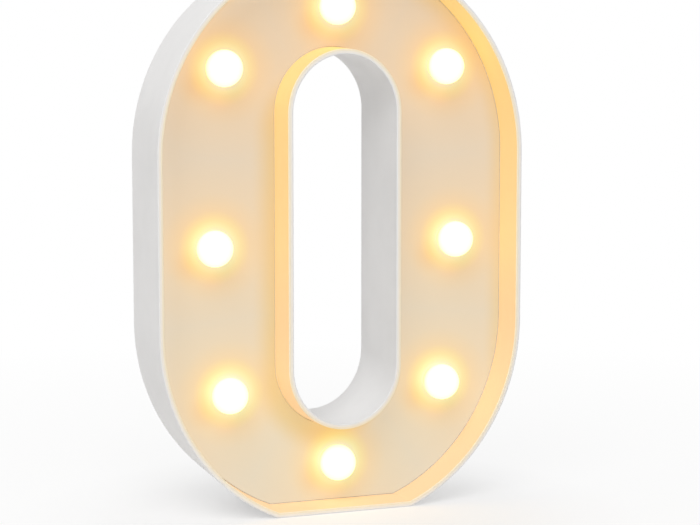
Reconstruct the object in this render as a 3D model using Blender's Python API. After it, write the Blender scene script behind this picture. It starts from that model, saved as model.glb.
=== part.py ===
"""A light up marquee number, a nought, that stands on its own flat foot.

The casing is one moulded tray, open to the front, with a wall round its outside and another
round the hole through the number. The face plate lies down in it on a ledge and carries eight
globe lamps. The chamber behind the plate holds the wiring, the switch and a bay for two cells,
which a hinged door closes at the back. X is to the right seen from the front, the front faces
-Y, Z is up, and the origin is in the middle of the foot. Lengths are in metres.
"""

import math

import bmesh
import bpy
from mathutils import Vector

# Overall size of the number
HEIGHT = 0.225
WIDTH = 0.1537
DEPTH = 0.044

# Outline of the number: half ellipses above and below straight sides, cut flat at the foot
UPPER_CURVE_RISE = 0.0817
LOWER_CURVE_DROP = 0.081
FOOT_CUT = 0.0058
FOOT_CORNER = 0.003
BODY_TAPER = 0.0014

# Hole through the number, at the front rim
HOLE_WIDTH = 0.0436
HOLE_TO_CROWN = 0.0412
HOLE_TO_FOOT = 0.0361
HOLE_END_RISE = 0.0234
HOLE_TAPER = 0.0015

# Walls of the casing
WALL = 0.0021
BACK_WALL = 0.002
CHAMBER_DEPTH = 0.0265
LEDGE = 0.001
RIM_BEVEL = 0.0003
BACK_ROUND = 0.0012
INNER_CORNER = 0.0009

# Gaps that the pieces keep between them
SEAT_GAP = 0.0003
THREAD_GAP = 0.00015

# How far a cutter runs past what it cuts, and how far a joined shape sinks into its wall
OVERRUN = 0.001
SINK = 0.001

# Face plate
PLATE_THICKNESS = 0.002
POST_DIAMETER = 0.0064
POST_LENGTH = 0.012
PILOT_DEPTH = 0.0098

# Globe lamps
GLOBE_DIAMETER = 0.0145
GLOBE_BEFORE_PLATE = 0.00635
COLLAR_DIAMETER = 0.0112
COLLAR_THICKNESS = 0.0009
NECK_DIAMETER = 0.009
NECK_BEAD_DIAMETER = 0.0099
NECK_BEAD_LENGTH = 0.001
NECK_TAIL = 0.002

# Where the globes stand, from the edges of the number and the ends of its straight sides
TOP_GLOBE_FROM_CROWN = 0.0226
UPPER_GLOBE_FROM_SIDE = 0.02985
UPPER_GLOBE_ABOVE_STRAIGHT = 0.0351
MIDDLE_GLOBE_FROM_SIDE = 0.02545
MIDDLE_GLOBE_BELOW_MIDDLE = 0.00135
LOWER_GLOBE_FROM_SIDE = 0.03125
LOWER_GLOBE_BELOW_STRAIGHT = 0.0262
BOTTOM_GLOBE_FROM_FOOT = 0.0186

# Light emitting diodes
DIODE_DIAMETER = 0.005
DIODE_LENGTH = 0.0078
DIODE_FLANGE_DIAMETER = 0.0058
DIODE_FLANGE_THICKNESS = 0.001
LEG_PITCH = 0.00254
LEG_THICKNESS = 0.0005
LEG_LENGTH = 0.0032

# Screws that hold the face plate, and the bosses they pass through
SCREW_DIAMETER = 0.0026
SCREW_LENGTH = 0.01
SCREW_POINT = 0.0012
SCREW_HEAD_DIAMETER = 0.005
SCREW_HEAD_HEIGHT = 0.0019
SCREW_HEAD_CROWN = 0.0006
DRIVE_WIDTH = 0.0008
DRIVE_SPAN = 0.003
DRIVE_DEPTH = 0.0009
BOSS_DIAMETER = 0.008
BOSS_FLOOR = 0.0022
BOSS_FROM_WALL = 0.0055
COUNTERBORE_DIAMETER = 0.006
WEB_THICKNESS = 0.0016
WEB_STEP = 0.0015
BOSS_FROM_BAY = 0.0025
END_BOSS_ANGLE = math.radians(30)

# Pair of keyholes in the back for hanging
KEYHOLE_PITCH = 0.039
KEYHOLE_FROM_CROWN = 0.0265
KEYHOLE_DIAMETER = 0.0092
KEYHOLE_SLOT_WIDTH = 0.0048
KEYHOLE_SLOT_RISE = 0.0095

# Cells, and the bay that holds them
CELL_DIAMETER = 0.0145
CELL_LENGTH = 0.0505
CELL_SHOULDER = 0.0008
CELL_NUB_DIAMETER = 0.0055
CELL_NUB_HEIGHT = 0.0012
CELL_SPACING = 0.0007
CELL_CLEARANCE = 0.0004
BAY_WALL = 0.0016
DOOR_LAP = 0.0012
DOOR_CORNER = 0.002

# Contacts and springs
CONTACT_THICKNESS = 0.0004
CONTACT_WIDTH = 0.009
CONTACT_DEPTH = 0.008
BRIDGE_NECK_DEPTH = 0.004
SOLDER_TAB_WIDTH = 0.003
SOLDER_TAB_LENGTH = 0.0035
SPRING_LENGTH = 0.0045
SPRING_WIRE = 0.0007
SPRING_BASE_DIAMETER = 0.0078
SPRING_TIP_DIAMETER = 0.0042
SPRING_TURNS = 3

# Bay door
DOOR_THICKNESS = 0.0018
TAB_WIDTH = 0.0026
TAB_THICKNESS = 0.0012
TAB_REACH = 0.0015
TAB_ROOT = 0.0017
TAB_FROM_EDGE = 0.0003
LATCH_WIDTH = 0.011
LATCH_LENGTH = 0.009
LATCH_SLIT = 0.0008
LATCH_NOSE_DEPTH = 0.0018
LATCH_NOSE_THICKNESS = 0.0011
DOOR_RIB_WIDTH = 0.0014
DOOR_RIB_DEPTH = 0.0026
DOOR_RIB_LENGTH = 0.036
SCOOP_RADIUS = 0.007
SCOOP_DEPTH = 0.0011

# Slide switch
SWITCH_BELOW_BAY = 0.0186
SHELL_LENGTH = 0.0102
SHELL_WIDTH = 0.0056
SHELL_DEPTH = 0.0042
SHELL_SHEET = 0.0005
KNOB_LENGTH = 0.0028
KNOB_WIDTH = 0.0026
KNOB_RIB_STEP = 0.0003
KNOB_SHOE_LENGTH = 0.0042
KNOB_SHOE_WIDTH = 0.0036
KNOB_SHOE_THICKNESS = 0.0013
KNOB_TRAVEL = 0.0025
KNOB_BELOW_BACK = 0.0005
BASE_BOARD = 0.0011
PIN_PITCH = 0.0025
PIN_WIDTH = 0.0011
PIN_THICKNESS = 0.0005
PIN_LENGTH = 0.0028
DISH_LENGTH = 0.014
DISH_WIDTH = 0.0075
DISH_CORNER = 0.0015
DISH_DEPTH = 0.0028
DISH_WALL = 0.0015
BRACKET_THICKNESS = 0.0013

# Wires
WIRE_DIAMETER = 0.0012
WIRE_LIFT = 0.0018

# Steps along round shapes
CORNER_STEPS = 3
LOWER_STEPS = 10
UPPER_STEPS = 18
ROUND_STEPS = 14
GLOBE_STEPS = 14
GLOBE_RINGS = 7
DIODE_STEPS = 8
DIODE_RINGS = 3
SCREW_STEPS = 10
CELL_STEPS = 20
TROUGH_STEPS = 9
SMALL_CORNER_STEPS = 4
WIRE_STEPS = 4
KEYHOLE_STEPS = 12
SLOT_END_STEPS = 7
SPRING_STEPS = 8

# Edges sharper than this stay sharp
SHARP_ANGLE = math.radians(35)

# Heights along the outline and the hole
SIDE_BOTTOM = LOWER_CURVE_DROP - FOOT_CUT
SIDE_TOP = HEIGHT - UPPER_CURVE_RISE
HOLE_SIDE_BOTTOM = HOLE_TO_FOOT + HOLE_END_RISE
HOLE_SIDE_TOP = HEIGHT - HOLE_TO_CROWN - HOLE_END_RISE
KEYHOLE_HEIGHT = HEIGHT - KEYHOLE_FROM_CROWN

# Places along the depth, from the front rim to the back
FRONT = -DEPTH / 2
BACK = DEPTH / 2
CHAMBER_BACK = BACK - BACK_WALL
PLATE_FRONT = CHAMBER_BACK - CHAMBER_DEPTH
PLATE_REAR = PLATE_FRONT + PLATE_THICKNESS
LEDGE_FACE = PLATE_REAR + SEAT_GAP
POST_TIP = PLATE_REAR + POST_LENGTH
BOSS_FACE = POST_TIP + SEAT_GAP
COUNTERBORE_FLOOR = BOSS_FACE + BOSS_FLOOR
GLOBE_Y = PLATE_FRONT - GLOBE_BEFORE_PLATE
NECK_END = PLATE_REAR + NECK_TAIL
DIODE_REAR = NECK_END
WIRE_Y = DIODE_REAR + WIRE_LIFT

# Places in the bay
CELL_PITCH = CELL_DIAMETER + CELL_SPACING
TROUGH_RADIUS = CELL_DIAMETER / 2 + CELL_CLEARANCE
BAY_HALF_WIDTH = CELL_PITCH / 2 + TROUGH_RADIUS
BAY_LENGTH = CELL_LENGTH + SPRING_LENGTH + 2 * CONTACT_THICKNESS + 5 * SEAT_GAP
DOOR_INSIDE = BACK - DOOR_THICKNESS
DOOR_SEAT = DOOR_INSIDE - SEAT_GAP
CELL_Y = DOOR_INSIDE - CELL_CLEARANCE - CELL_DIAMETER / 2


def body_inset(y):
    """How far the outside of the number has drawn in at a depth, because it tapers."""
    return BODY_TAPER * (y - FRONT) / DEPTH


def hole_growth(y):
    """How far the hole has widened at a depth, because it tapers."""
    return HOLE_TAPER * (y - FRONT) / DEPTH


INNER_HALF_WIDTH = WIDTH / 2 - WALL - LEDGE - body_inset(CHAMBER_BACK)
RING_HALF_WIDTH = HOLE_WIDTH / 2 + WALL + LEDGE + hole_growth(CHAMBER_BACK)
BAY_X = -(INNER_HALF_WIDTH + RING_HALF_WIDTH) / 2
BAY_Z = (SIDE_BOTTOM + SIDE_TOP) / 2
BAY_TOP = BAY_Z + BAY_LENGTH / 2
BAY_BOTTOM = BAY_Z - BAY_LENGTH / 2
HINGE_Y = BACK - DOOR_THICKNESS / 2
DOOR_TOP = BAY_TOP + DOOR_LAP - SEAT_GAP
DOOR_BOTTOM = BAY_BOTTOM - DOOR_LAP + SEAT_GAP
HINGE_Z = DOOR_TOP - DOOR_THICKNESS / 2
UPPER_BOSS_HEIGHT = BAY_TOP + BAY_WALL + BOSS_FROM_BAY + BOSS_DIAMETER / 2
LOWER_BOSS_HEIGHT = BAY_BOTTOM - BAY_WALL - BOSS_FROM_BAY - BOSS_DIAMETER / 2
SWITCH_HEIGHT = BAY_BOTTOM - SWITCH_BELOW_BAY
DISH_FLOOR = BACK - DISH_DEPTH
DISH_REAR = DISH_FLOOR - DISH_WALL
SHELL_FACE = DISH_REAR - SEAT_GAP
SHELL_REAR = SHELL_FACE - SHELL_DEPTH

UPPER_GLOBE = (WIDTH / 2 - UPPER_GLOBE_FROM_SIDE, SIDE_TOP + UPPER_GLOBE_ABOVE_STRAIGHT)
MIDDLE_GLOBE = (WIDTH / 2 - MIDDLE_GLOBE_FROM_SIDE, BAY_Z - MIDDLE_GLOBE_BELOW_MIDDLE)
LOWER_GLOBE = (WIDTH / 2 - LOWER_GLOBE_FROM_SIDE, SIDE_BOTTOM - LOWER_GLOBE_BELOW_STRAIGHT)

# Order in which the wires reach the globes, from the switch round the number
GLOBE_PLACES = [
    ("lower_left", -LOWER_GLOBE[0], LOWER_GLOBE[1]),
    ("bottom", 0.0, BOTTOM_GLOBE_FROM_FOOT),
    ("lower_right", *LOWER_GLOBE),
    ("middle_right", *MIDDLE_GLOBE),
    ("upper_right", *UPPER_GLOBE),
    ("top", 0.0, HEIGHT - TOP_GLOBE_FROM_CROWN),
    ("upper_left", -UPPER_GLOBE[0], UPPER_GLOBE[1]),
    ("middle_left", -MIDDLE_GLOBE[0], MIDDLE_GLOBE[1]),
]


# Outlines

def mirrored(half):
    """A closed outline from its right half, which runs from bottom centre to top centre."""
    left = [(-x, z) for x, z in reversed(half[1:-1])]
    return half + left


def number_outline(inset, foot, corner):
    """The number's outline, drawn in by inset, with its foot flat at a height."""
    half_width = WIDTH / 2 - inset
    rise = UPPER_CURVE_RISE - inset
    drop = LOWER_CURVE_DROP - inset
    corner_z = foot + corner
    turn = math.acos((SIDE_BOTTOM - corner_z) / (drop - corner))
    corner_x = (half_width - corner) * math.sin(turn)
    half = [(0.0, foot)]
    for step in range(CORNER_STEPS + 1):
        angle = turn * step / CORNER_STEPS
        half.append((corner_x + corner * math.sin(angle), corner_z - corner * math.cos(angle)))
    for step in range(1, LOWER_STEPS + 1):
        angle = turn + (math.pi / 2 - turn) * step / LOWER_STEPS
        half.append((half_width * math.sin(angle), SIDE_BOTTOM - drop * math.cos(angle)))
    for step in range(UPPER_STEPS):
        angle = math.pi / 2 * step / UPPER_STEPS
        half.append((half_width * math.cos(angle), SIDE_TOP + rise * math.sin(angle)))
    half.append((0.0, SIDE_TOP + rise))
    return mirrored(half)


def hole_outline(growth):
    """The hole's outline, widened by growth, with as many points as the number's."""
    half_width = HOLE_WIDTH / 2 + growth
    rise = HOLE_END_RISE + growth
    lower_steps = CORNER_STEPS + 1 + LOWER_STEPS
    half = []
    for step in range(lower_steps + 1):
        angle = math.pi / 2 * step / lower_steps
        half.append((half_width * math.sin(angle), HOLE_SIDE_BOTTOM - rise * math.cos(angle)))
    for step in range(UPPER_STEPS):
        angle = math.pi / 2 * step / UPPER_STEPS
        half.append((half_width * math.cos(angle), HOLE_SIDE_TOP + rise * math.sin(angle)))
    half.append((0.0, HOLE_SIDE_TOP + rise))
    return mirrored(half)


def rounded_rectangle(x, z, width, height, corner):
    """A rectangle round a middle point, with its corners rounded."""
    points = []
    middles = [(1, 1), (-1, 1), (-1, -1), (1, -1)]
    for quarter, (side_x, side_z) in enumerate(middles):
        middle_x = x + side_x * (width / 2 - corner)
        middle_z = z + side_z * (height / 2 - corner)
        for step in range(SMALL_CORNER_STEPS + 1):
            angle = math.pi / 2 * (quarter + step / SMALL_CORNER_STEPS)
            points.append((middle_x + corner * math.cos(angle),
                           middle_z + corner * math.sin(angle)))
    return points


def door_outline(x, low, high, half_width, corner):
    """The door's outline, square along the hinge above and rounded at the free edge below."""
    points = [(x + half_width, high), (x - half_width, high)]
    for side, start in ((-1, math.pi), (1, 3 * math.pi / 2)):
        middle_x = x + side * (half_width - corner)
        for step in range(SMALL_CORNER_STEPS + 1):
            angle = start + math.pi / 2 * step / SMALL_CORNER_STEPS
            points.append((middle_x + corner * math.cos(angle),
                           low + corner + corner * math.sin(angle)))
    return points


def rectangle(low_u, low_v, high_u, high_v):
    """A plain rectangle between two corners."""
    return [(low_u, low_v), (high_u, low_v), (high_u, high_v), (low_u, high_v)]


def circle(x, z, radius, steps):
    """A circle as a closed outline."""
    points = []
    for step in range(steps):
        angle = 2 * math.pi * step / steps
        points.append((x + radius * math.cos(angle), z + radius * math.sin(angle)))
    return points


# Shapes, each added to a mesh that is being built

def add_loft(mesh, loops, ring=False):
    """Skin a row of loops with equal counts, capped at both ends or closed to a ring."""
    rows = [[mesh.verts.new(point) for point in loop] for loop in loops]
    pairs = list(zip(rows, rows[1:]))
    if ring:
        pairs.append((rows[-1], rows[0]))
    else:
        mesh.faces.new(rows[0])
        mesh.faces.new(rows[-1])
    for row, following in pairs:
        for place in range(len(row)):
            after = (place + 1) % len(row)
            mesh.faces.new((row[place], row[after], following[after], following[place]))


def add_prism(mesh, outline, along, low, high):
    """Carry a flat outline from low to high along one axis."""
    loops = []
    for level in (low, high):
        if along == "X":
            loops.append([(level, u, v) for u, v in outline])
        elif along == "Y":
            loops.append([(u, level, v) for u, v in outline])
        else:
            loops.append([(u, v, level) for u, v in outline])
    add_loft(mesh, loops)


def add_turned(mesh, profile, steps, x=0.0, z=0.0):
    """Turn a profile of radii and depths about a line along Y. It starts and ends on the line."""
    rows = []
    for radius, y in profile:
        if radius == 0:
            rows.append([mesh.verts.new((x, y, z))])
            continue
        rows.append([mesh.verts.new((u, y, v)) for u, v in circle(x, z, radius, steps)])
    for row, following in zip(rows, rows[1:]):
        for place in range(steps):
            after = (place + 1) % steps
            if len(row) == 1:
                mesh.faces.new((row[0], following[after], following[place]))
            elif len(following) == 1:
                mesh.faces.new((row[place], row[after], following[0]))
            else:
                mesh.faces.new((row[place], row[after], following[after], following[place]))


def add_post(mesh, x, z, radius, low, high, steps=ROUND_STEPS):
    """A plain round post along Y."""
    add_prism(mesh, circle(x, z, radius, steps), "Y", low, high)


# Objects

def new_object(name, mesh_in_work):
    """Make an object of a finished mesh, with its faces pointing out."""
    bmesh.ops.recalc_face_normals(mesh_in_work, faces=mesh_in_work.faces)
    data = bpy.data.meshes.new(name)
    mesh_in_work.to_mesh(data)
    mesh_in_work.free()
    piece = bpy.data.objects.new(name, data)
    bpy.context.scene.collection.objects.link(piece)
    return piece


def combine(piece, tool_mesh, operation):
    """Work on a piece with a tool shape, and leave the plain result."""
    tool = new_object("tool", tool_mesh)
    modifier = piece.modifiers.new("Boolean", "BOOLEAN")
    modifier.solver = "EXACT"
    modifier.operation = operation
    modifier.object = tool
    graph = bpy.context.evaluated_depsgraph_get()
    result = bpy.data.meshes.new_from_object(piece.evaluated_get(graph))
    piece.modifiers.clear()
    piece.data = result
    bpy.data.objects.remove(tool)


def join(piece, tool_mesh):
    """Add a shape to a piece."""
    combine(piece, tool_mesh, "UNION")


def cut(piece, tool_mesh):
    """Take a shape away from a piece."""
    combine(piece, tool_mesh, "DIFFERENCE")


def trim(piece, tool_mesh):
    """Keep only what of a piece lies inside a shape."""
    combine(piece, tool_mesh, "INTERSECT")


def make_material(name, color, roughness, metallic=0.0, glow=0.0):
    """A plain shaded material, with a glow where the piece gives light."""
    material = bpy.data.materials.new(name)
    material.use_nodes = True
    shader = material.node_tree.nodes["Principled BSDF"]
    shader.inputs["Base Color"].default_value = (*color, 1.0)
    shader.inputs["Roughness"].default_value = roughness
    shader.inputs["Metallic"].default_value = metallic
    if glow:
        shader.inputs["Emission Color"].default_value = (*color, 1.0)
        shader.inputs["Emission Strength"].default_value = glow
    return material


def finish(piece, material):
    """Give a piece its one material and its smooth round faces."""
    piece.data.materials.clear()
    piece.data.materials.append(material)
    for face in piece.data.polygons:
        face.material_index = 0
    piece.data.shade_smooth()
    piece.data.set_sharp_from_angle(angle=SHARP_ANGLE)


def copy_of(piece, name, location, turn=0.0):
    """Another object with the same mesh, turned about the line from front to back."""
    twin = bpy.data.objects.new(name, piece.data)
    twin.location = location
    twin.rotation_euler = (0.0, turn, 0.0)
    bpy.context.scene.collection.objects.link(twin)
    return twin


# Places that several pieces share

def outward(x, z):
    """The way out from the middle line of the number at a place."""
    if z > SIDE_TOP:
        way = Vector((x, z - SIDE_TOP))
    elif z < SIDE_BOTTOM:
        way = Vector((x, z - SIDE_BOTTOM))
    else:
        way = Vector((x, 0.0))
    return way.normalized()


def boss_places():
    """The eight screw places, each at the same distance from the outside wall."""
    half_width = INNER_HALF_WIDTH - BOSS_FROM_WALL
    rise = UPPER_CURVE_RISE - (WIDTH / 2 - half_width)
    drop = LOWER_CURVE_DROP - (WIDTH / 2 - half_width)
    end_x = half_width * math.sin(END_BOSS_ANGLE)
    above = max(0.0, UPPER_BOSS_HEIGHT - SIDE_TOP) / rise
    below = max(0.0, SIDE_BOTTOM - LOWER_BOSS_HEIGHT) / drop
    heights = [
        (half_width * math.sqrt(1 - above ** 2), UPPER_BOSS_HEIGHT),
        (half_width * math.sqrt(1 - below ** 2), LOWER_BOSS_HEIGHT),
        (end_x, SIDE_TOP + rise * math.cos(END_BOSS_ANGLE)),
        (end_x, SIDE_BOTTOM - drop * math.cos(END_BOSS_ANGLE)),
    ]
    places = []
    for x, z in heights:
        for side in (-1, 1):
            places.append((side * x, z))
    return places


# Casing

def number_loop(inset, y, foot, corner):
    """The number's outline as a loop at one depth."""
    return [(x, y, z) for x, z in number_outline(inset + body_inset(y), foot, corner)]


def hole_loop(growth, y):
    """The hole's outline as a loop at one depth."""
    return [(x, y, z) for x, z in hole_outline(growth + hole_growth(y))]


def casing_tray():
    """The two walls and the back as one skin, carried right round the number."""
    rim = FRONT + RIM_BEVEL
    back_edge = BACK - BACK_ROUND
    lined = WALL + LEDGE
    loops = [
        number_loop(RIM_BEVEL, FRONT, RIM_BEVEL, FOOT_CORNER),
        number_loop(0.0, rim, 0.0, FOOT_CORNER),
        number_loop(0.0, back_edge, 0.0, FOOT_CORNER),
        number_loop(BACK_ROUND, BACK, BACK_ROUND, FOOT_CORNER),
        hole_loop(BACK_ROUND, BACK),
        hole_loop(0.0, back_edge),
        hole_loop(0.0, rim),
        hole_loop(RIM_BEVEL, FRONT),
        hole_loop(WALL - RIM_BEVEL, FRONT),
        hole_loop(WALL, rim),
        hole_loop(WALL, LEDGE_FACE),
        hole_loop(lined, LEDGE_FACE),
        hole_loop(lined, CHAMBER_BACK),
        number_loop(lined, CHAMBER_BACK, lined, INNER_CORNER),
        number_loop(lined, LEDGE_FACE, lined, INNER_CORNER),
        number_loop(WALL, LEDGE_FACE, WALL, INNER_CORNER),
        number_loop(WALL, rim, WALL, INNER_CORNER),
        number_loop(WALL - RIM_BEVEL, FRONT, WALL - RIM_BEVEL, INNER_CORNER),
    ]
    mesh = bmesh.new()
    add_loft(mesh, loops, ring=True)
    return new_object("casing", mesh)


def add_screw_bosses(casing):
    """Bosses with counterbores, each tied to the wall by a web."""
    bosses = bmesh.new()
    webs = bmesh.new()
    bores = bmesh.new()
    holes = bmesh.new()
    for x, z in boss_places():
        add_post(bosses, x, z, BOSS_DIAMETER / 2, BOSS_FACE, CHAMBER_BACK + SINK)
        way = outward(x, z)
        across = Vector((-way.y, way.x)) * WEB_THICKNESS / 2
        near = Vector((x, z))
        far = near + way * (BOSS_FROM_WALL + SINK)
        web = [near - across, far - across, far + across, near + across]
        add_prism(webs, [tuple(point) for point in web], "Y",
                  BOSS_FACE + WEB_STEP, CHAMBER_BACK + SINK)
        add_post(bores, x, z, COUNTERBORE_DIAMETER / 2, COUNTERBORE_FLOOR, BACK + OVERRUN)
        add_post(holes, x, z, SCREW_DIAMETER / 2 + SEAT_GAP,
                 BOSS_FACE - OVERRUN, COUNTERBORE_FLOOR + OVERRUN, SCREW_STEPS)
    join(casing, bosses)
    join(casing, webs)
    cut(casing, bores)
    cut(casing, holes)


def bay_outer_outline():
    """The outside of the bay, with its two front corners round the cells."""
    reach = TROUGH_RADIUS + BAY_WALL
    top = CHAMBER_BACK + SINK
    right = [(CELL_PITCH / 2 + reach, top)]
    for step in range(TROUGH_STEPS // 2 + 1):
        angle = -math.pi / 2 * step / (TROUGH_STEPS // 2)
        right.append((CELL_PITCH / 2 + reach * math.cos(angle), CELL_Y + reach * math.sin(angle)))
    left = [(-x, y) for x, y in reversed(right)]
    return [(BAY_X + x, y) for x, y in right + left]


def bay_inner_outline():
    """The inside of the bay: a trough under each cell and straight sides above them."""
    top = BACK + OVERRUN
    cusp = math.acos(CELL_PITCH / 2 / TROUGH_RADIUS)
    right = [(BAY_HALF_WIDTH, top)]
    for step in range(TROUGH_STEPS + 1):
        angle = -(math.pi - cusp) * step / TROUGH_STEPS
        right.append((CELL_PITCH / 2 + TROUGH_RADIUS * math.cos(angle),
                      CELL_Y + TROUGH_RADIUS * math.sin(angle)))
    left = [(-x, y) for x, y in reversed(right[:-1])]
    return [(BAY_X + x, y) for x, y in right + left]


def tab_offsets():
    """The places of the door's two tabs across the bay, at its outer corners."""
    reach = BAY_HALF_WIDTH - TAB_FROM_EDGE - TAB_WIDTH / 2
    return (-reach, reach)


def tab_sweep():
    """How far from the hinge line the inner corner of a tab swings."""
    depth = DOOR_THICKNESS / 2 + TAB_ROOT
    height = DOOR_THICKNESS / 2 + SEAT_GAP + TAB_REACH
    return math.hypot(depth, height)


def add_battery_bay(casing):
    """The bay, its door seat, the notches for the tabs and the slots for the solder tabs."""
    block = bmesh.new()
    add_prism(block, bay_outer_outline(), "Z", BAY_BOTTOM - BAY_WALL, BAY_TOP + BAY_WALL)
    join(casing, block)
    pocket = bmesh.new()
    add_prism(pocket, bay_inner_outline(), "Z", BAY_BOTTOM, BAY_TOP)
    cut(casing, pocket)
    seat = bmesh.new()
    seat_outline = door_outline(BAY_X, BAY_BOTTOM - DOOR_LAP, BAY_TOP + DOOR_LAP,
                                BAY_HALF_WIDTH + DOOR_LAP, DOOR_CORNER)
    add_prism(seat, seat_outline, "Y", DOOR_SEAT, BACK + OVERRUN)
    cut(casing, seat)
    notches = bmesh.new()
    for offset in tab_offsets():
        reach = TAB_WIDTH / 2 + SEAT_GAP
        notch = rectangle(BAY_X + offset - reach, HINGE_Y - tab_sweep() - SEAT_GAP,
                          BAY_X + offset + reach, CHAMBER_BACK)
        add_prism(notches, notch, "Z", BAY_TOP - OVERRUN, BAY_TOP + BAY_WALL + OVERRUN)
    cut(casing, notches)
    slots = bmesh.new()
    for side in (-1, 1):
        middle = BAY_X + side * CELL_PITCH / 2
        reach = SOLDER_TAB_WIDTH / 2 + SEAT_GAP
        low = CELL_Y - CONTACT_THICKNESS / 2 - SEAT_GAP
        slot = rectangle(middle - reach, low, middle + reach,
                         low + CONTACT_THICKNESS + 2 * SEAT_GAP)
        add_prism(slots, slot, "Z", BAY_BOTTOM - BAY_WALL - OVERRUN, BAY_BOTTOM + OVERRUN)
    cut(casing, slots)
    scoop = bmesh.new()
    add_prism(scoop, circle(BACK + SCOOP_RADIUS - SCOOP_DEPTH, DOOR_BOTTOM, SCOOP_RADIUS,
                            2 * ROUND_STEPS),
              "X", BAY_X - LATCH_WIDTH / 2, BAY_X + LATCH_WIDTH / 2)
    cut(casing, scoop)


def add_switch_dish(casing):
    """The dish that sinks the switch knob below the back, and two brackets behind it."""
    bump = bmesh.new()
    add_prism(bump, rounded_rectangle(BAY_X, SWITCH_HEIGHT, DISH_LENGTH + 2 * DISH_WALL,
                                      DISH_WIDTH + 2 * DISH_WALL, DISH_CORNER + DISH_WALL),
              "Y", DISH_REAR, CHAMBER_BACK + SINK)
    join(casing, bump)
    brackets = bmesh.new()
    for side in (-1, 1):
        near = BAY_X + side * (SHELL_LENGTH / 2 + SEAT_GAP)
        far = near + side * BRACKET_THICKNESS
        add_prism(brackets, rectangle(min(near, far), SWITCH_HEIGHT - SHELL_WIDTH / 2,
                                      max(near, far), SWITCH_HEIGHT + SHELL_WIDTH / 2),
                  "Y", SHELL_REAR, DISH_REAR + SINK)
    join(casing, brackets)
    dish = bmesh.new()
    add_prism(dish, rounded_rectangle(BAY_X, SWITCH_HEIGHT, DISH_LENGTH, DISH_WIDTH, DISH_CORNER),
              "Y", DISH_FLOOR, BACK + OVERRUN)
    cut(casing, dish)
    window = bmesh.new()
    add_prism(window, knob_window(), "Y", DISH_REAR - OVERRUN, DISH_FLOOR + OVERRUN)
    cut(casing, window)


def keyhole_outline(x):
    """A round entry with a narrower slot that runs up from it to a round end."""
    entry = KEYHOLE_DIAMETER / 2
    half = KEYHOLE_SLOT_WIDTH / 2
    meeting = math.asin(half / entry)
    around = 2 * (math.pi - meeting)
    outline = []
    for step in range(KEYHOLE_STEPS + 1):
        angle = math.pi / 2 + meeting + around * step / KEYHOLE_STEPS
        outline.append((x + entry * math.cos(angle), KEYHOLE_HEIGHT + entry * math.sin(angle)))
    for step in range(SLOT_END_STEPS + 1):
        angle = math.pi * step / SLOT_END_STEPS
        outline.append((x + half * math.cos(angle),
                        KEYHOLE_HEIGHT + KEYHOLE_SLOT_RISE + half * math.sin(angle)))
    return outline


def add_keyholes(casing):
    """The two keyholes by which the number hangs on screw heads."""
    keyholes = bmesh.new()
    for side in (-1, 1):
        add_prism(keyholes, keyhole_outline(side * KEYHOLE_PITCH / 2), "Y",
                  CHAMBER_BACK - OVERRUN, BACK + OVERRUN)
    cut(casing, keyholes)


def make_casing(material):
    """The moulded tray with all that is moulded in it."""
    casing = casing_tray()
    add_screw_bosses(casing)
    add_battery_bay(casing)
    add_switch_dish(casing)
    add_keyholes(casing)
    finish(casing, material)


# Face plate

def make_face_plate(material):
    """The plate that lies on the ledge, with its globe holes and its screw posts."""
    fit = WALL + SEAT_GAP
    loops = [
        number_loop(fit, PLATE_FRONT, fit, INNER_CORNER),
        number_loop(fit, PLATE_REAR, fit, INNER_CORNER),
        hole_loop(fit, PLATE_REAR),
        hole_loop(fit, PLATE_FRONT),
    ]
    mesh = bmesh.new()
    add_loft(mesh, loops, ring=True)
    plate = new_object("face_plate", mesh)
    posts = bmesh.new()
    pilots = bmesh.new()
    for x, z in boss_places():
        add_post(posts, x, z, POST_DIAMETER / 2, PLATE_REAR - SINK, POST_TIP)
        add_post(pilots, x, z, SCREW_DIAMETER / 2 + THREAD_GAP,
                 POST_TIP - PILOT_DEPTH, POST_TIP + OVERRUN, SCREW_STEPS)
    join(plate, posts)
    cut(plate, pilots)
    holes = bmesh.new()
    for _, x, z in GLOBE_PLACES:
        add_post(holes, x, z, NECK_DIAMETER / 2 + SEAT_GAP,
                 PLATE_FRONT - OVERRUN, PLATE_REAR + OVERRUN)
    cut(plate, holes)
    finish(plate, material)


# Globe lamps and their diodes

def globe_profile():
    """The ball, its collar on the plate, the neck through it and the bore for the diode."""
    radius = GLOBE_DIAMETER / 2
    collar_back = PLATE_FRONT - SEAT_GAP - GLOBE_Y
    collar_front = collar_back - COLLAR_THICKNESS
    last = math.acos(-collar_front / radius)
    profile = [(0.0, -radius)]
    for ring in range(1, GLOBE_RINGS + 1):
        angle = last * ring / GLOBE_RINGS
        profile.append((radius * math.sin(angle), -radius * math.cos(angle)))
    bead_front = PLATE_REAR + SEAT_GAP - GLOBE_Y
    bead_back = bead_front + NECK_BEAD_LENGTH
    tail = NECK_END - GLOBE_Y
    flange_seat = DIODE_REAR - DIODE_FLANGE_THICKNESS - SEAT_GAP - GLOBE_Y
    flange_radius = DIODE_FLANGE_DIAMETER / 2 + SEAT_GAP
    bore_radius = DIODE_DIAMETER / 2 + SEAT_GAP
    bore_end = DIODE_REAR - DIODE_FLANGE_THICKNESS - DIODE_LENGTH - SEAT_GAP - GLOBE_Y
    profile += [
        (COLLAR_DIAMETER / 2, collar_front),
        (COLLAR_DIAMETER / 2, collar_back),
        (NECK_DIAMETER / 2, collar_back),
        (NECK_DIAMETER / 2, bead_front),
        (NECK_BEAD_DIAMETER / 2, bead_front),
        (NECK_DIAMETER / 2, bead_back),
        (NECK_DIAMETER / 2, tail),
        (flange_radius, tail),
        (flange_radius, flange_seat),
        (bore_radius, flange_seat),
        (bore_radius, bore_end),
        (0.0, bore_end),
    ]
    return profile


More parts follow.
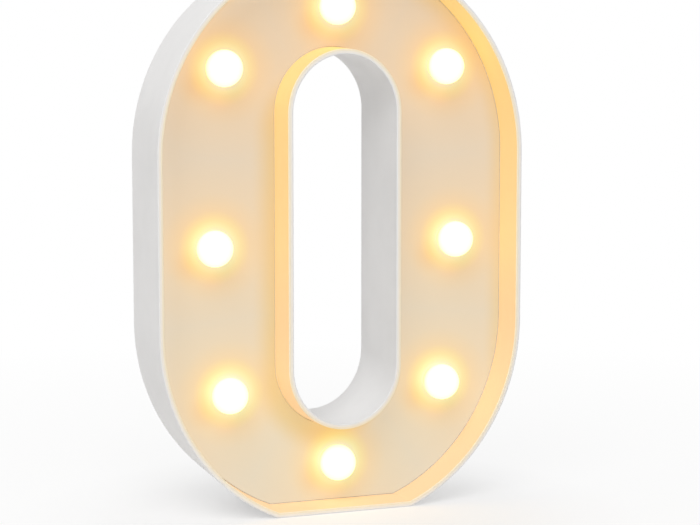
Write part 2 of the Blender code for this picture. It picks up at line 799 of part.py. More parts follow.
def make_globes(material):
    """Eight globes on one mesh."""
    mesh = bmesh.new()
    add_turned(mesh, globe_profile(), GLOBE_STEPS)
    first = None
    for name, x, z in GLOBE_PLACES:
        if first is None:
            first = new_object("globe_" + name, mesh)
            first.location = (x, GLOBE_Y, z)
            finish(first, material)
        else:
            copy_of(first, "globe_" + name, (x, GLOBE_Y, z))


def diode_profile():
    """The domed body and its flange, measured forward from the rear of the flange."""
    radius = DIODE_DIAMETER / 2
    tip = -DIODE_FLANGE_THICKNESS - DIODE_LENGTH
    profile = [(0.0, tip)]
    for ring in range(1, DIODE_RINGS + 1):
        angle = math.pi / 2 * ring / DIODE_RINGS
        profile.append((radius * math.sin(angle), tip + radius * (1 - math.cos(angle))))
    profile += [
        (radius, -DIODE_FLANGE_THICKNESS),
        (DIODE_FLANGE_DIAMETER / 2, -DIODE_FLANGE_THICKNESS),
        (DIODE_FLANGE_DIAMETER / 2, 0.0),
        (0.0, 0.0),
    ]
    return profile


def make_diodes(material):
    """Eight diodes on one mesh, each turned so that its legs stand in line with the wires."""
    mesh = bmesh.new()
    add_turned(mesh, diode_profile(), DIODE_STEPS)
    legs = bmesh.new()
    half = LEG_THICKNESS / 2
    for side in (-1, 1):
        middle = side * LEG_PITCH / 2
        add_prism(legs, rectangle(middle - half, -half, middle + half, half),
                  "Y", -DIODE_FLANGE_THICKNESS / 2, LEG_LENGTH)
    first = new_object("diode_" + GLOBE_PLACES[0][0], mesh)
    join(first, legs)
    finish(first, material)
    for place, (name, x, z) in enumerate(GLOBE_PLACES):
        way = outward(x, z)
        turn = -math.atan2(way.y, way.x)
        if place == 0:
            first.location = (x, DIODE_REAR, z)
            first.rotation_euler = (0.0, turn, 0.0)
        else:
            copy_of(first, "diode_" + name, (x, DIODE_REAR, z), turn)


# Screws

def screw_profile():
    """A pan head screw, measured forward from under its head."""
    shank = SCREW_DIAMETER / 2
    head = SCREW_HEAD_DIAMETER / 2
    return [
        (0.0, -SCREW_LENGTH),
        (shank, -SCREW_LENGTH + SCREW_POINT),
        (shank, 0.0),
        (head, 0.0),
        (head, SCREW_HEAD_HEIGHT - SCREW_HEAD_CROWN),
        (head - SCREW_HEAD_CROWN, SCREW_HEAD_HEIGHT),
        (0.0, SCREW_HEAD_HEIGHT),
    ]


def make_screws(material):
    """Eight screws on one mesh, with a cross slot in the head."""
    mesh = bmesh.new()
    add_turned(mesh, screw_profile(), SCREW_STEPS)
    first = new_object("screw_1", mesh)
    drive = bmesh.new()
    arm = DRIVE_SPAN / 2
    half = DRIVE_WIDTH / 2
    cross = [(half, half), (half, arm), (-half, arm), (-half, half), (-arm, half), (-arm, -half),
             (-half, -half), (-half, -arm), (half, -arm), (half, -half), (arm, -half), (arm, half)]
    add_prism(drive, cross, "Y", SCREW_HEAD_HEIGHT - DRIVE_DEPTH, SCREW_HEAD_HEIGHT + OVERRUN)
    cut(first, drive)
    finish(first, material)
    for number, (x, z) in enumerate(boss_places(), start=1):
        place = (x, COUNTERBORE_FLOOR + SEAT_GAP, z)
        if number == 1:
            first.location = place
        else:
            copy_of(first, "screw_" + str(number), place)


# Cells, contacts and springs

def make_cells(material):
    """Two cells side by side, one each way up. The left one has its nub at the top."""
    radius = CELL_DIAMETER / 2
    nub = CELL_NUB_DIAMETER / 2
    body_end = CELL_LENGTH / 2 - CELL_NUB_HEIGHT
    profile = [
        (0.0, -CELL_LENGTH / 2),
        (radius - CELL_SHOULDER, -CELL_LENGTH / 2),
        (radius, -CELL_LENGTH / 2 + CELL_SHOULDER),
        (radius, body_end - CELL_SHOULDER),
        (radius - CELL_SHOULDER, body_end),
        (nub, body_end),
        (nub, CELL_LENGTH / 2),
        (0.0, CELL_LENGTH / 2),
    ]
    mesh = bmesh.new()
    add_turned(mesh, profile, CELL_STEPS)
    left = new_object("cell_left", mesh)
    finish(left, material)
    high = BAY_TOP - 2 * SEAT_GAP - CONTACT_THICKNESS - CELL_LENGTH / 2
    low = BAY_BOTTOM + 2 * SEAT_GAP + CONTACT_THICKNESS + CELL_LENGTH / 2
    left.location = (BAY_X - CELL_PITCH / 2, CELL_Y, high)
    left.rotation_euler = (math.pi / 2, 0.0, 0.0)
    right = copy_of(left, "cell_right", (BAY_X + CELL_PITCH / 2, CELL_Y, low))
    right.rotation_euler = (-math.pi / 2, 0.0, 0.0)


def make_contact(name, x, material):
    """A contact leaf at the foot of the bay, with a solder tab through the end wall."""
    low = BAY_BOTTOM + SEAT_GAP
    mesh = bmesh.new()
    add_prism(mesh, rectangle(x - CONTACT_WIDTH / 2, CELL_Y - CONTACT_DEPTH / 2,
                              x + CONTACT_WIDTH / 2, CELL_Y + CONTACT_DEPTH / 2),
              "Z", low, low + CONTACT_THICKNESS)
    leaf = new_object(name, mesh)
    tab = bmesh.new()
    add_prism(tab, rectangle(x - SOLDER_TAB_WIDTH / 2, CELL_Y - CONTACT_THICKNESS / 2,
                             x + SOLDER_TAB_WIDTH / 2, CELL_Y + CONTACT_THICKNESS / 2),
              "Z", BAY_BOTTOM - BAY_WALL - SOLDER_TAB_LENGTH, low + CONTACT_THICKNESS / 2)
    join(leaf, tab)
    finish(leaf, material)


def make_bridge(material):
    """The contact across the top of the bay, which joins the two cells."""
    mesh = bmesh.new()
    outer = CELL_PITCH / 2 + CONTACT_WIDTH / 2
    inner = CELL_PITCH / 2 - CONTACT_WIDTH / 2
    low = CELL_Y - CONTACT_DEPTH / 2
    high = CELL_Y + CONTACT_DEPTH / 2
    neck = high - BRIDGE_NECK_DEPTH
    shape = [(-outer, low), (-inner, low), (-inner, neck), (inner, neck), (inner, low),
             (outer, low), (outer, high), (-outer, high)]
    add_prism(mesh, [(BAY_X + x, y) for x, y in shape], "Z",
              BAY_TOP - SEAT_GAP - CONTACT_THICKNESS, BAY_TOP - SEAT_GAP)
    finish(new_object("contact_bridge", mesh), material)


def make_tube(name, points, diameter, material, resolution):
    """A round wire along a row of points, closed at both ends."""
    curve = bpy.data.curves.new(name, "CURVE")
    curve.dimensions = "3D"
    curve.bevel_depth = diameter / 2
    curve.bevel_resolution = resolution
    curve.use_fill_caps = True
    line = curve.splines.new("POLY")
    line.points.add(len(points) - 1)
    for spot, point in zip(line.points, points):
        spot.co = (*point, 1.0)
    curve.materials.append(material)
    wire = bpy.data.objects.new(name, curve)
    bpy.context.scene.collection.objects.link(wire)


def make_spring(name, x, base_z, way, material):
    """A cone spring that stands on a contact and narrows towards its cell."""
    turns = SPRING_TURNS * SPRING_STEPS
    height = SPRING_LENGTH - SPRING_WIRE
    points = []
    for step in range(turns + 1):
        share = step / turns
        angle = 2 * math.pi * step / SPRING_STEPS
        diameter = SPRING_BASE_DIAMETER + (SPRING_TIP_DIAMETER - SPRING_BASE_DIAMETER) * share
        points.append((x + diameter / 2 * math.cos(angle), CELL_Y + diameter / 2 * math.sin(angle),
                       base_z + way * (SPRING_WIRE / 2 + height * share)))
    make_tube(name, points, SPRING_WIRE, material, 1)


def make_power_pieces(materials):
    """Everything that lies in the bay."""
    make_cells(materials["cell"])
    left = BAY_X - CELL_PITCH / 2
    right = BAY_X + CELL_PITCH / 2
    make_contact("contact_negative", left, materials["contact"])
    make_contact("contact_positive", right, materials["contact"])
    make_bridge(materials["contact"])
    clear = 2 * SEAT_GAP + CONTACT_THICKNESS
    make_spring("spring_negative", left, BAY_BOTTOM + clear, 1, materials["contact"])
    make_spring("spring_bridge", right, BAY_TOP - clear, -1, materials["contact"])


# Bay door

def make_door(material):
    """The door, with its origin on the hinge line along its top edge."""
    half_width = BAY_HALF_WIDTH + DOOR_LAP - SEAT_GAP
    round_radius = DOOR_THICKNESS / 2
    bottom = DOOR_BOTTOM - HINGE_Z
    outside = [(round_radius, 0.0), (round_radius, bottom - OVERRUN),
               (-round_radius, bottom - OVERRUN)]
    for step in range(ROUND_STEPS // 2 + 1):
        angle = math.pi * (1 - step / (ROUND_STEPS // 2))
        outside.append((round_radius * math.cos(angle), round_radius * math.sin(angle)))
    mesh = bmesh.new()
    add_prism(mesh, outside[:-1], "X", -half_width - OVERRUN, half_width + OVERRUN)
    door = new_object("battery_door", mesh)
    face = bmesh.new()
    add_prism(face, door_outline(0.0, bottom, round_radius + OVERRUN, half_width,
                                 DOOR_CORNER - SEAT_GAP),
              "Y", -round_radius - OVERRUN, round_radius + OVERRUN)
    trim(door, face)
    for offset in tab_offsets():
        inner = -round_radius - TAB_ROOT
        outer = inner + TAB_THICKNESS
        tip = round_radius + SEAT_GAP + TAB_REACH
        shape = [(inner, -TAB_ROOT), (SINK - round_radius, -TAB_ROOT),
                 (SINK - round_radius, -round_radius / 2), (outer, -round_radius / 2),
                 (outer, tip), (inner, tip)]
        tab = bmesh.new()
        add_prism(tab, shape, "X", offset - TAB_WIDTH / 2, offset + TAB_WIDTH / 2)
        join(door, tab)
    slits = bmesh.new()
    for side in (-1, 1):
        middle = side * (LATCH_WIDTH + LATCH_SLIT) / 2
        add_prism(slits, rectangle(middle - LATCH_SLIT / 2, bottom - OVERRUN,
                                   middle + LATCH_SLIT / 2, bottom + LATCH_LENGTH),
                  "Y", -round_radius - OVERRUN, round_radius + OVERRUN)
    cut(door, slits)
    nose = bmesh.new()
    nose_low = BAY_BOTTOM + SEAT_GAP - HINGE_Z
    add_prism(nose, rectangle(-LATCH_WIDTH / 2, nose_low,
                              LATCH_WIDTH / 2, nose_low + LATCH_NOSE_THICKNESS),
              "Y", -round_radius - LATCH_NOSE_DEPTH, 0.0)
    join(door, nose)
    rib = bmesh.new()
    middle_z = BAY_Z - HINGE_Z
    add_prism(rib, rectangle(-DOOR_RIB_WIDTH / 2, middle_z - DOOR_RIB_LENGTH / 2,
                             DOOR_RIB_WIDTH / 2, middle_z + DOOR_RIB_LENGTH / 2),
              "Y", -round_radius - DOOR_RIB_DEPTH, 0.0)
    join(door, rib)
    finish(door, material)
    door.location = (BAY_X, HINGE_Y, HINGE_Z)


# Slide switch

def knob_window():
    """The window that the knob slides in, one travel longer than the knob."""
    low = BAY_X - KNOB_TRAVEL - KNOB_LENGTH / 2 - SEAT_GAP
    high = BAY_X + KNOB_LENGTH / 2 + SEAT_GAP
    reach = KNOB_WIDTH / 2 + SEAT_GAP
    shift = KNOB_TRAVEL / 2
    return rectangle(low + shift, SWITCH_HEIGHT - reach, high + shift, SWITCH_HEIGHT + reach)


def make_switch(materials):
    """The sheet shell, the board with its three pins, and the knob between them."""
    middle = (BAY_X, 0.0, SWITCH_HEIGHT)
    outer_x = SHELL_LENGTH / 2
    outer_z = SHELL_WIDTH / 2
    mesh = bmesh.new()
    add_prism(mesh, rectangle(-outer_x, -outer_z, outer_x, outer_z), "Y", SHELL_REAR, SHELL_FACE)
    shell = new_object("switch_shell", mesh)
    inside = bmesh.new()
    inner_x = outer_x - SHELL_SHEET
    inner_z = outer_z - SHELL_SHEET
    add_prism(inside, rectangle(-inner_x, -inner_z, inner_x, inner_z),
              "Y", SHELL_REAR - OVERRUN, SHELL_FACE - SHELL_SHEET)
    cut(shell, inside)
    window = bmesh.new()
    add_prism(window, [(x - BAY_X, z - SWITCH_HEIGHT) for x, z in knob_window()],
              "Y", SHELL_FACE - SHELL_SHEET - OVERRUN, SHELL_FACE + OVERRUN)
    cut(shell, window)
    finish(shell, materials["steel"])
    shell.location = middle

    board_x = inner_x - SEAT_GAP
    board_z = inner_z - SEAT_GAP
    mesh = bmesh.new()
    add_prism(mesh, rectangle(-board_x, -board_z, board_x, board_z),
              "Y", SHELL_REAR, SHELL_REAR + BASE_BOARD)
    board = new_object("switch_board", mesh)
    pins = bmesh.new()
    for place in (-1, 0, 1):
        pin_x = place * PIN_PITCH
        add_prism(pins, rectangle(pin_x - PIN_THICKNESS / 2, -PIN_WIDTH / 2,
                                  pin_x + PIN_THICKNESS / 2, PIN_WIDTH / 2),
                  "Y", SHELL_REAR - PIN_LENGTH, SHELL_REAR + BASE_BOARD / 2)
    join(board, pins)
    finish(board, materials["board"])
    board.location = middle

    shoe_top = SHELL_FACE - SHELL_SHEET - SEAT_GAP
    knob_top = BACK - KNOB_BELOW_BACK
    mesh = bmesh.new()
    add_prism(mesh, rectangle(-KNOB_SHOE_LENGTH / 2, -KNOB_SHOE_WIDTH / 2,
                              KNOB_SHOE_LENGTH / 2, KNOB_SHOE_WIDTH / 2),
              "Y", shoe_top - KNOB_SHOE_THICKNESS, shoe_top)
    knob = new_object("switch_knob", mesh)
    stem = bmesh.new()
    half = KNOB_LENGTH / 2
    low = shoe_top - KNOB_SHOE_THICKNESS / 2
    step = KNOB_RIB_STEP
    stem_side = [(-half, low), (half, low), (half, knob_top - step), (half / 2, knob_top - step),
                 (half / 2, knob_top), (-half / 2, knob_top), (-half / 2, knob_top - step),
                 (-half, knob_top - step)]
    add_prism(stem, stem_side, "Z", -KNOB_WIDTH / 2, KNOB_WIDTH / 2)
    join(knob, stem)
    finish(knob, materials["knob"])
    knob.location = (BAY_X + KNOB_TRAVEL / 2, 0.0, SWITCH_HEIGHT)


# Wires

def smooth_route(points):
    """A smooth line through a row of points."""
    ends = [2 * points[0] - points[1]] + points + [2 * points[-1] - points[-2]]
    route = []
    for place in range(1, len(ends) - 2):
        before, start, end, after = ends[place - 1:place + 3]
        for step in range(WIRE_STEPS):
            share = step / WIRE_STEPS
            linear = (end - before) * share
            square = (2 * before - 5 * start + 4 * end - after) * share ** 2
            cubic = (3 * start - before - 3 * end + after) * share ** 3
            route.append((2 * start + linear + square + cubic) / 2)
    route.append(points[-1])
    return route


def legs_route(side):
    """Where a wire passes the legs of the eight diodes, on one side of them all."""
    offset = side * (LEG_PITCH / 2 + LEG_THICKNESS / 2 + SEAT_GAP + WIRE_DIAMETER / 2)
    stops = []
    for _, x, z in GLOBE_PLACES:
        way = outward(x, z)
        stops.append(Vector((x + way.x * offset, WIRE_Y, z + way.y * offset)))
    return stops


def make_wires(materials):
    """The lead from the cells to the switch, and the two wires that pass all the diodes."""
    wire_end = BAY_BOTTOM - BAY_WALL - SOLDER_TAB_LENGTH - SEAT_GAP
    pin_tip = SHELL_REAR - PIN_LENGTH - SEAT_GAP
    left = BAY_X - CELL_PITCH / 2
    right = BAY_X + CELL_PITCH / 2
    common = BAY_X
    switched = BAY_X + PIN_PITCH
    run = 3 * WIRE_DIAMETER

    plus = [
        Vector((right, CELL_Y, wire_end)),
        Vector((right, CELL_Y, wire_end - run)),
        Vector((right - run, pin_tip - run, SWITCH_HEIGHT + run)),
        Vector((common, pin_tip - run, SWITCH_HEIGHT)),
        Vector((common, pin_tip, SWITCH_HEIGHT)),
    ]
    make_tube("wire_cells_to_switch", smooth_route(plus), WIRE_DIAMETER, materials["red"], 1)

    feed = [
        Vector((switched, pin_tip, SWITCH_HEIGHT)),
        Vector((switched, pin_tip - run, SWITCH_HEIGHT - run / 2)),
        Vector((switched, WIRE_Y + run, SWITCH_HEIGHT - run)),
    ]
    make_tube("wire_positive", smooth_route(feed + legs_route(-1)), WIRE_DIAMETER,
              materials["red"], 1)

    back = [
        Vector((left, CELL_Y, wire_end)),
        Vector((left, CELL_Y, wire_end - run)),
        Vector((left, WIRE_Y + run, SWITCH_HEIGHT)),
    ]
    make_tube("wire_negative", smooth_route(back + legs_route(1)), WIRE_DIAMETER,
              materials["black"], 1)


# Assembly

def main():
    """Clear the scene and build every piece."""
    for old in list(bpy.data.objects):
        bpy.data.objects.remove(old)
    materials = {
        "shell": make_material("white_plastic", (0.82, 0.81, 0.8), 0.45),
        "plate": make_material("lit_white_plastic", (0.85, 0.72, 0.52), 0.5),
        "globe": make_material("frosted_globe", (1.0, 0.86, 0.6), 0.4, 0.0, 2.0),
        "diode": make_material("warm_epoxy", (0.95, 0.75, 0.35), 0.2),
        "screw": make_material("screw_steel", (0.55, 0.55, 0.56), 0.35, 1.0),
        "steel": make_material("switch_steel", (0.62, 0.62, 0.63), 0.3, 1.0),
        "contact": make_material("contact_nickel", (0.66, 0.65, 0.62), 0.3, 1.0),
        "cell": make_material("cell_jacket", (0.12, 0.13, 0.15), 0.35),
        "board": make_material("switch_board", (0.2, 0.1, 0.05), 0.6),
        "knob": make_material("black_plastic", (0.03, 0.03, 0.03), 0.5),
        "red": make_material("red_wire", (0.5, 0.03, 0.03), 0.5),
        "black": make_material("black_wire", (0.03, 0.03, 0.03), 0.5),
    }
    make_casing(materials["shell"])
    make_face_plate(materials["plate"])
    make_globes(materials["globe"])
    make_diodes(materials["diode"])
    make_screws(materials["screw"])
    make_power_pieces(materials)
    make_door(materials["shell"])
    make_switch(materials)
    make_wires(materials)


main()
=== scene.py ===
"""A light up marquee number, a nought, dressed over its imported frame.

X is to the right seen from the front, the front faces -Y, Z is up and the floor is at zero.
Lengths are in metres. Each section below makes one piece, or one group of like pieces, in the
order in which the object is put together.
"""

import math

import bmesh
import bpy
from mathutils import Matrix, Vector


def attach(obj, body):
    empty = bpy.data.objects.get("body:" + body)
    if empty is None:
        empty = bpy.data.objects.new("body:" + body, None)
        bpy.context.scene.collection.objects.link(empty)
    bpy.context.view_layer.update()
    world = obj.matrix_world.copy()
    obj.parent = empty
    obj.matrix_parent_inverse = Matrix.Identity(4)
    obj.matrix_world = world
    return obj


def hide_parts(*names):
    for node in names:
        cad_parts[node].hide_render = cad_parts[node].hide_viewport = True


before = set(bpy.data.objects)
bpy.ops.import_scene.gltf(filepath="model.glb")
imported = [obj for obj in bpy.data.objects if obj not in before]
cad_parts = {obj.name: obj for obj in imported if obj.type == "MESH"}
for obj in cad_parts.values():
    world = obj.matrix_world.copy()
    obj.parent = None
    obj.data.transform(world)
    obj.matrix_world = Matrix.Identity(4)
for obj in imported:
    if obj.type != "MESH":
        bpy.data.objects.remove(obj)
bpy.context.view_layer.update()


# Studio
# A pale paper floor, a large soft box above and in front, a weaker one behind, and even light
# from all round. The floor fades to the white of the background away from the number. The
# camera stands low, a little to the left.

CAMERA_PLACE = (-0.2889, -0.7857, 0.1999)
CAMERA_YAW = math.radians(20.84)
CAMERA_DIP = math.radians(6.88)
CAMERA_LENS = 106.48
CAMERA_SENSOR = 36.0
CAMERA_REACH = 50.0
FLOOR_HALF_WIDTH = 12.0
FLOOR_SQUARES = 8
FLOOR_PAPER = ((250, 249, 248), (236, 233, 230))
PAPER_CLOUDINESS = 0.12
PAPER_CLOUD_SCALE = 14.0
PAPER_TOOTH = 0.00002
PAPER_TOOTH_SCALE = 900.0
PAPER_ROUGHNESS = 0.85
PAPER_SPECULAR = 0.2
SHADOW_MIDDLE = (-0.01, -0.03, 0.0)
FLOOR_FADE_REACH = 0.45
FLOOR_WHITENESS = [(0.04, 0.46), (0.075, 0.62), (0.1, 0.78), (0.125, 0.87), (0.2, 0.9),
                   (FLOOR_FADE_REACH, 1.0)]
WHITE = (1.0, 1.0, 1.0, 1.0)
ROOM_LIGHT = 0.32
SOFT_BOX_SIZE = 1.5
SOFT_BOX_AIM = Vector((0.0, 0.0, 0.11))
SOFT_BOXES = {"front": ((-0.66, -1.2, 1.65), 26.5), "rear": ((-1.1, 1.1, 1.2), 4.5)}


def paint(colour):
    """A colour as it looks on a screen, from 0 to 255, as the shader takes it."""
    shares = []
    for level in colour:
        share = level / 255
        if share > 0.04045:
            shares.append(((share + 0.055) / 1.055) ** 2.4)
        else:
            shares.append(share / 12.92)
    return (*shares, 1.0)


def fill(tree, node, values):
    """Set inputs of a node, or join them to results of other nodes."""
    for name, value in values.items():
        if isinstance(value, bpy.types.NodeSocket):
            tree.links.new(value, node.inputs[name])
        else:
            node.inputs[name].default_value = value


def add_node(tree, kind, values=None, **options):
    """Place one node, with its options and what its inputs take."""
    node = tree.nodes.new("ShaderNode" + kind)
    for option, choice in options.items():
        setattr(node, option, choice)
    fill(tree, node, values or {})
    return node


def result_of(tree, operation, first, second=0.0):
    """The result of one step of arithmetic."""
    return add_node(tree, "Math", {0: first, 1: second}, operation=operation).outputs[0]


def vector_step(tree, operation, first, second, result="Vector"):
    """The result of one step of arithmetic on places."""
    node = add_node(tree, "VectorMath", {0: first, 1: second}, operation=operation)
    return node.outputs[result]


def mixed(tree, share, first, second, blend="MIX"):
    """A colour between two others, or one colour tinted by another."""
    return add_node(tree, "Mix", {0: share, 6: first, 7: second}, data_type="RGBA",
                    blend_type=blend).outputs[2]


def between(tree, share, tones):
    """A colour between two tones."""
    return mixed(tree, share, paint(tones[0]), paint(tones[1]))


def noise(tree, place, scale, detail=3.0):
    """A cloudy value."""
    values = {"Vector": place, "Scale": scale, "Detail": detail}
    return add_node(tree, "TexNoise", values).outputs[0]


def relief(tree, height, depth):
    """How a surface faces under a relief of some depth."""
    return add_node(tree, "Bump", {"Height": height, "Distance": depth}).outputs[0]


def ramp(tree, distance, reach, stops):
    """A colour that follows a row of stops, each with its distance, up to a reach."""
    share = result_of(tree, "DIVIDE", distance, reach)
    node = add_node(tree, "ValToRGB", {0: share})
    places = node.color_ramp.elements
    while len(places) < len(stops):
        places.new(0.5)
    for place, (stop, colour) in zip(places, stops):
        place.position = stop / reach
        place.color = colour
    return node.outputs[0]


def new_material(name):
    """A material with its shader ready, and nothing else."""
    material = bpy.data.materials.new(name)
    material.use_nodes = True
    tree = material.node_tree
    return material, tree, tree.nodes["Principled BSDF"]


def new_object(name, data):
    """An object that stands in the scene."""
    thing = bpy.data.objects.new(name, data)
    bpy.context.scene.collection.objects.link(thing)
    return thing


def seen_by_eye(tree):
    """One where a ray comes from the camera, a mirror or glass, and nought otherwise."""
    path = add_node(tree, "LightPath").outputs
    seen = result_of(tree, "MAXIMUM", path["Is Camera Ray"], path["Is Glossy Ray"])
    return result_of(tree, "MAXIMUM", seen, path["Is Transmission Ray"])


def two_faced(tree, output, share, first, second):
    """Let a surface show its first shader, and by a share its second one."""
    shaders = {0: share, 1: first.outputs[0], 2: second.outputs[0]}
    surface = add_node(tree, "MixShader", shaders).outputs[0]
    fill(tree, tree.nodes[output], {"Surface": surface})


def floor_paper():
    """Matt paper with a faint tooth, which fades to plain white far from the number."""
    material, tree, shader = new_material("floor_paper")
    place = add_node(tree, "NewGeometry").outputs["Position"]
    cloud = noise(tree, place, PAPER_CLOUD_SCALE, detail=2.0)
    cloud = result_of(tree, "MULTIPLY", cloud, PAPER_CLOUDINESS)
    tooth = noise(tree, place, PAPER_TOOTH_SCALE)
    fill(tree, shader, {
        "Base Color": between(tree, cloud, FLOOR_PAPER),
        "Roughness": PAPER_ROUGHNESS,
        "Specular IOR Level": PAPER_SPECULAR,
        "Normal": relief(tree, tooth, PAPER_TOOTH),
    })
    away = vector_step(tree, "DISTANCE", place, SHADOW_MIDDLE, "Value")
    stops = [(reach, (level, level, level, 1.0)) for reach, level in FLOOR_WHITENESS]
    far = ramp(tree, away, FLOOR_FADE_REACH, stops)
    glow = add_node(tree, "Emission", {"Color": WHITE, "Strength": 1.0})
    share = result_of(tree, "MULTIPLY", far, seen_by_eye(tree))
    two_faced(tree, "Material Output", share, shader, glow)
    return material


def lay_floor():
    """One wide sheet with its top at zero height."""
    sheet = bmesh.new()
    bmesh.ops.create_grid(sheet, x_segments=FLOOR_SQUARES, y_segments=FLOOR_SQUARES,
                          size=FLOOR_HALF_WIDTH)
    data = bpy.data.meshes.new("floor")
    sheet.to_mesh(data)
    sheet.free()
    data.materials.append(floor_paper())
    new_object("floor", data)


def light_room():
    """White to the eye, and a plain even light on the object."""
    world = bpy.data.worlds.new("room")
    world.use_nodes = True
    tree = world.node_tree
    even = tree.nodes["Background"]
    fill(tree, even, {"Color": WHITE, "Strength": ROOM_LIGHT})
    white = add_node(tree, "Background", {"Color": WHITE, "Strength": 1.0})
    two_faced(tree, "World Output", seen_by_eye(tree), even, white)
    bpy.context.scene.world = world


def hang_soft_box(name, place, watts):
    """A large soft box, aimed at the middle of the number."""
    lamp = bpy.data.lights.new(name, "AREA")
    lamp.shape = "SQUARE"
    lamp.size = SOFT_BOX_SIZE
    lamp.energy = watts
    box = new_object(name, lamp)
    box.location = place
    aim = SOFT_BOX_AIM - Vector(place)
    box.rotation_euler = aim.to_track_quat("-Z", "Y").to_euler()


def stand_camera():
    """The camera, where the photographer's stood."""
    lens = bpy.data.cameras.new("camera")
    lens.lens = CAMERA_LENS
    lens.sensor_width = CAMERA_SENSOR
    lens.sensor_fit = "HORIZONTAL"
    lens.clip_end = CAMERA_REACH
    camera = new_object("camera", lens)
    camera.location = CAMERA_PLACE
    camera.rotation_euler = (math.pi / 2 - CAMERA_DIP, 0.0, -CAMERA_YAW)
    bpy.context.scene.camera = camera


lay_floor()
light_room()
for name, (place, watts) in SOFT_BOXES.items():
    hang_soft_box("soft_box_" + name, place, watts)
stand_camera()
bpy.context.scene.view_settings.view_transform = "Standard"


# Casing
# One injection moulded tray of matt white polystyrene: the wall round the outside, the wall
# round the hole and the back. The battery bay, the switch dish, eight screw bosses and two
# keyholes are moulded into its back. The warm light of the globes is painted into the colour
# of the walls of its recess, which also give off a painted glow, and into the rim round it.

HEIGHT = 0.225
WIDTH = 0.1537
DEPTH = 0.044
FRONT = -DEPTH / 2
BACK = DEPTH / 2
UPPER_RISE = 0.0817
LOWER_DROP = 0.081
FOOT_CUT = 0.0058
SIDE_BOTTOM = LOWER_DROP - FOOT_CUT
SIDE_TOP = HEIGHT - UPPER_RISE
FOOT_CORNER = 0.003
INNER_CORNER = 0.0009
BODY_TAPER = 0.0014
HOLE_WIDTH = 0.0436
HOLE_TO_FOOT = 0.0361
HOLE_TO_CROWN = 0.0412
HOLE_END_RISE = 0.0234
HOLE_SIDE_BOTTOM = HOLE_TO_FOOT + HOLE_END_RISE
HOLE_SIDE_TOP = HEIGHT - HOLE_TO_CROWN - HOLE_END_RISE
HOLE_TAPER = 0.0015
CORNER_STEPS = 6
LOWER_STEPS = 24
UPPER_STEPS = 36
SHARP_ANGLE = math.radians(32)

WALL = 0.0021
LEDGE = 0.001
BACK_WALL = 0.002
CHAMBER_DEPTH = 0.0265
PLATE_THICKNESS = 0.002
SEAT_GAP = 0.0003
CHAMBER_BACK = BACK - BACK_WALL
PLATE_FRONT = CHAMBER_BACK - CHAMBER_DEPTH
PLATE_REAR = PLATE_FRONT + PLATE_THICKNESS
LEDGE_FACE = PLATE_REAR + SEAT_GAP
RIM_ROUND = 0.0003
BACK_ROUND = 0.0012
EDGE_HOLD = 0.0004
MOUTH = 0.00025
PAST = 0.001
WELD = 0.000001

BOSS_PLACES = [(0.0335, 0.2054), (0.0669, 0.146), (0.0669, 0.0725), (0.0335, 0.0137)]
BOSSES = [(side * x, z) for x, z in BOSS_PLACES for side in (-1, 1)]
BOSS_RADIUS = 0.004
BOSS_FLOOR = 0.0022
POST_LENGTH = 0.012
POST_TIP = PLATE_REAR + POST_LENGTH
BOSS_FACE = POST_TIP + SEAT_GAP
COUNTERBORE_RADIUS = 0.003
COUNTERBORE_FLOOR = BOSS_FACE + BOSS_FLOOR
SCREW_HOLE_RADIUS = 0.0016

CELL_RADIUS = 0.00725
CELL_GAP = 0.0007
CELL_CLEARANCE = 0.0004
CELL_PITCH = 2 * CELL_RADIUS + CELL_GAP
DOOR_THICKNESS = 0.0018
DOOR_LAP = 0.0012
DOOR_CORNER = 0.002
DOOR_SEAT = BACK - DOOR_THICKNESS - SEAT_GAP
CELL_Y = BACK - DOOR_THICKNESS - CELL_CLEARANCE - CELL_RADIUS
TROUGH_RADIUS = CELL_RADIUS + CELL_CLEARANCE
TROUGH_STEPS = 28
BAY_X = -0.049373
BAY_LENGTH = 0.0573
BAY_LOW = (SIDE_BOTTOM + SIDE_TOP - BAY_LENGTH) / 2
BAY_HIGH = BAY_LOW + BAY_LENGTH
BAY_HALF_WIDTH = CELL_PITCH / 2 + TROUGH_RADIUS
BAY_WALL = 0.0016
BAY_WALL_STEPS = 12
TAB_HALF = 0.0013
TAB_X = BAY_HALF_WIDTH - SEAT_GAP - TAB_HALF
NOTCH_HALF = TAB_HALF + SEAT_GAP
NOTCH_FRONT = 0.0175
NOTCH_RISE = 0.0026
SOLDER_SLOT = (0.0036, 0.001, 0.0002)
SCOOP_RADIUS = 0.007
SCOOP_DEPTH = 0.0011
LATCH_HALF = 0.0055

SWITCH_Z = BAY_LOW - 0.0186
SHELL_LENGTH = 0.0102
SHELL_WIDTH = 0.0056
SHELL_DEPTH = 0.0042
DISH_LENGTH = 0.014
DISH_WIDTH = 0.0075
DISH_CORNER = 0.0015
DISH_WALL = 0.0015
DISH_DEPTH = 0.0028
DISH_FLOOR = BACK - DISH_DEPTH
DISH_REAR = DISH_FLOOR - DISH_WALL
SHELL_REAR = DISH_REAR - SEAT_GAP - SHELL_DEPTH
BRACKET = (0.0013, SHELL_WIDTH, 0.0002)
BRACKET_X = SHELL_LENGTH / 2 + SEAT_GAP + BRACKET[0] / 2
KNOB_LENGTH = 0.0028
KNOB_WIDTH = 0.0026
KNOB_TRAVEL = 0.0025
WINDOW = (KNOB_LENGTH + KNOB_TRAVEL + 2 * SEAT_GAP, KNOB_WIDTH + 2 * SEAT_GAP, 0.0001)
KEYHOLE_X = 0.0195
KEYHOLE_Z = HEIGHT - 0.0265
KEYHOLE_ENTRY = 0.0046
KEYHOLE_SLOT = 0.0024
KEYHOLE_RISE = 0.0095
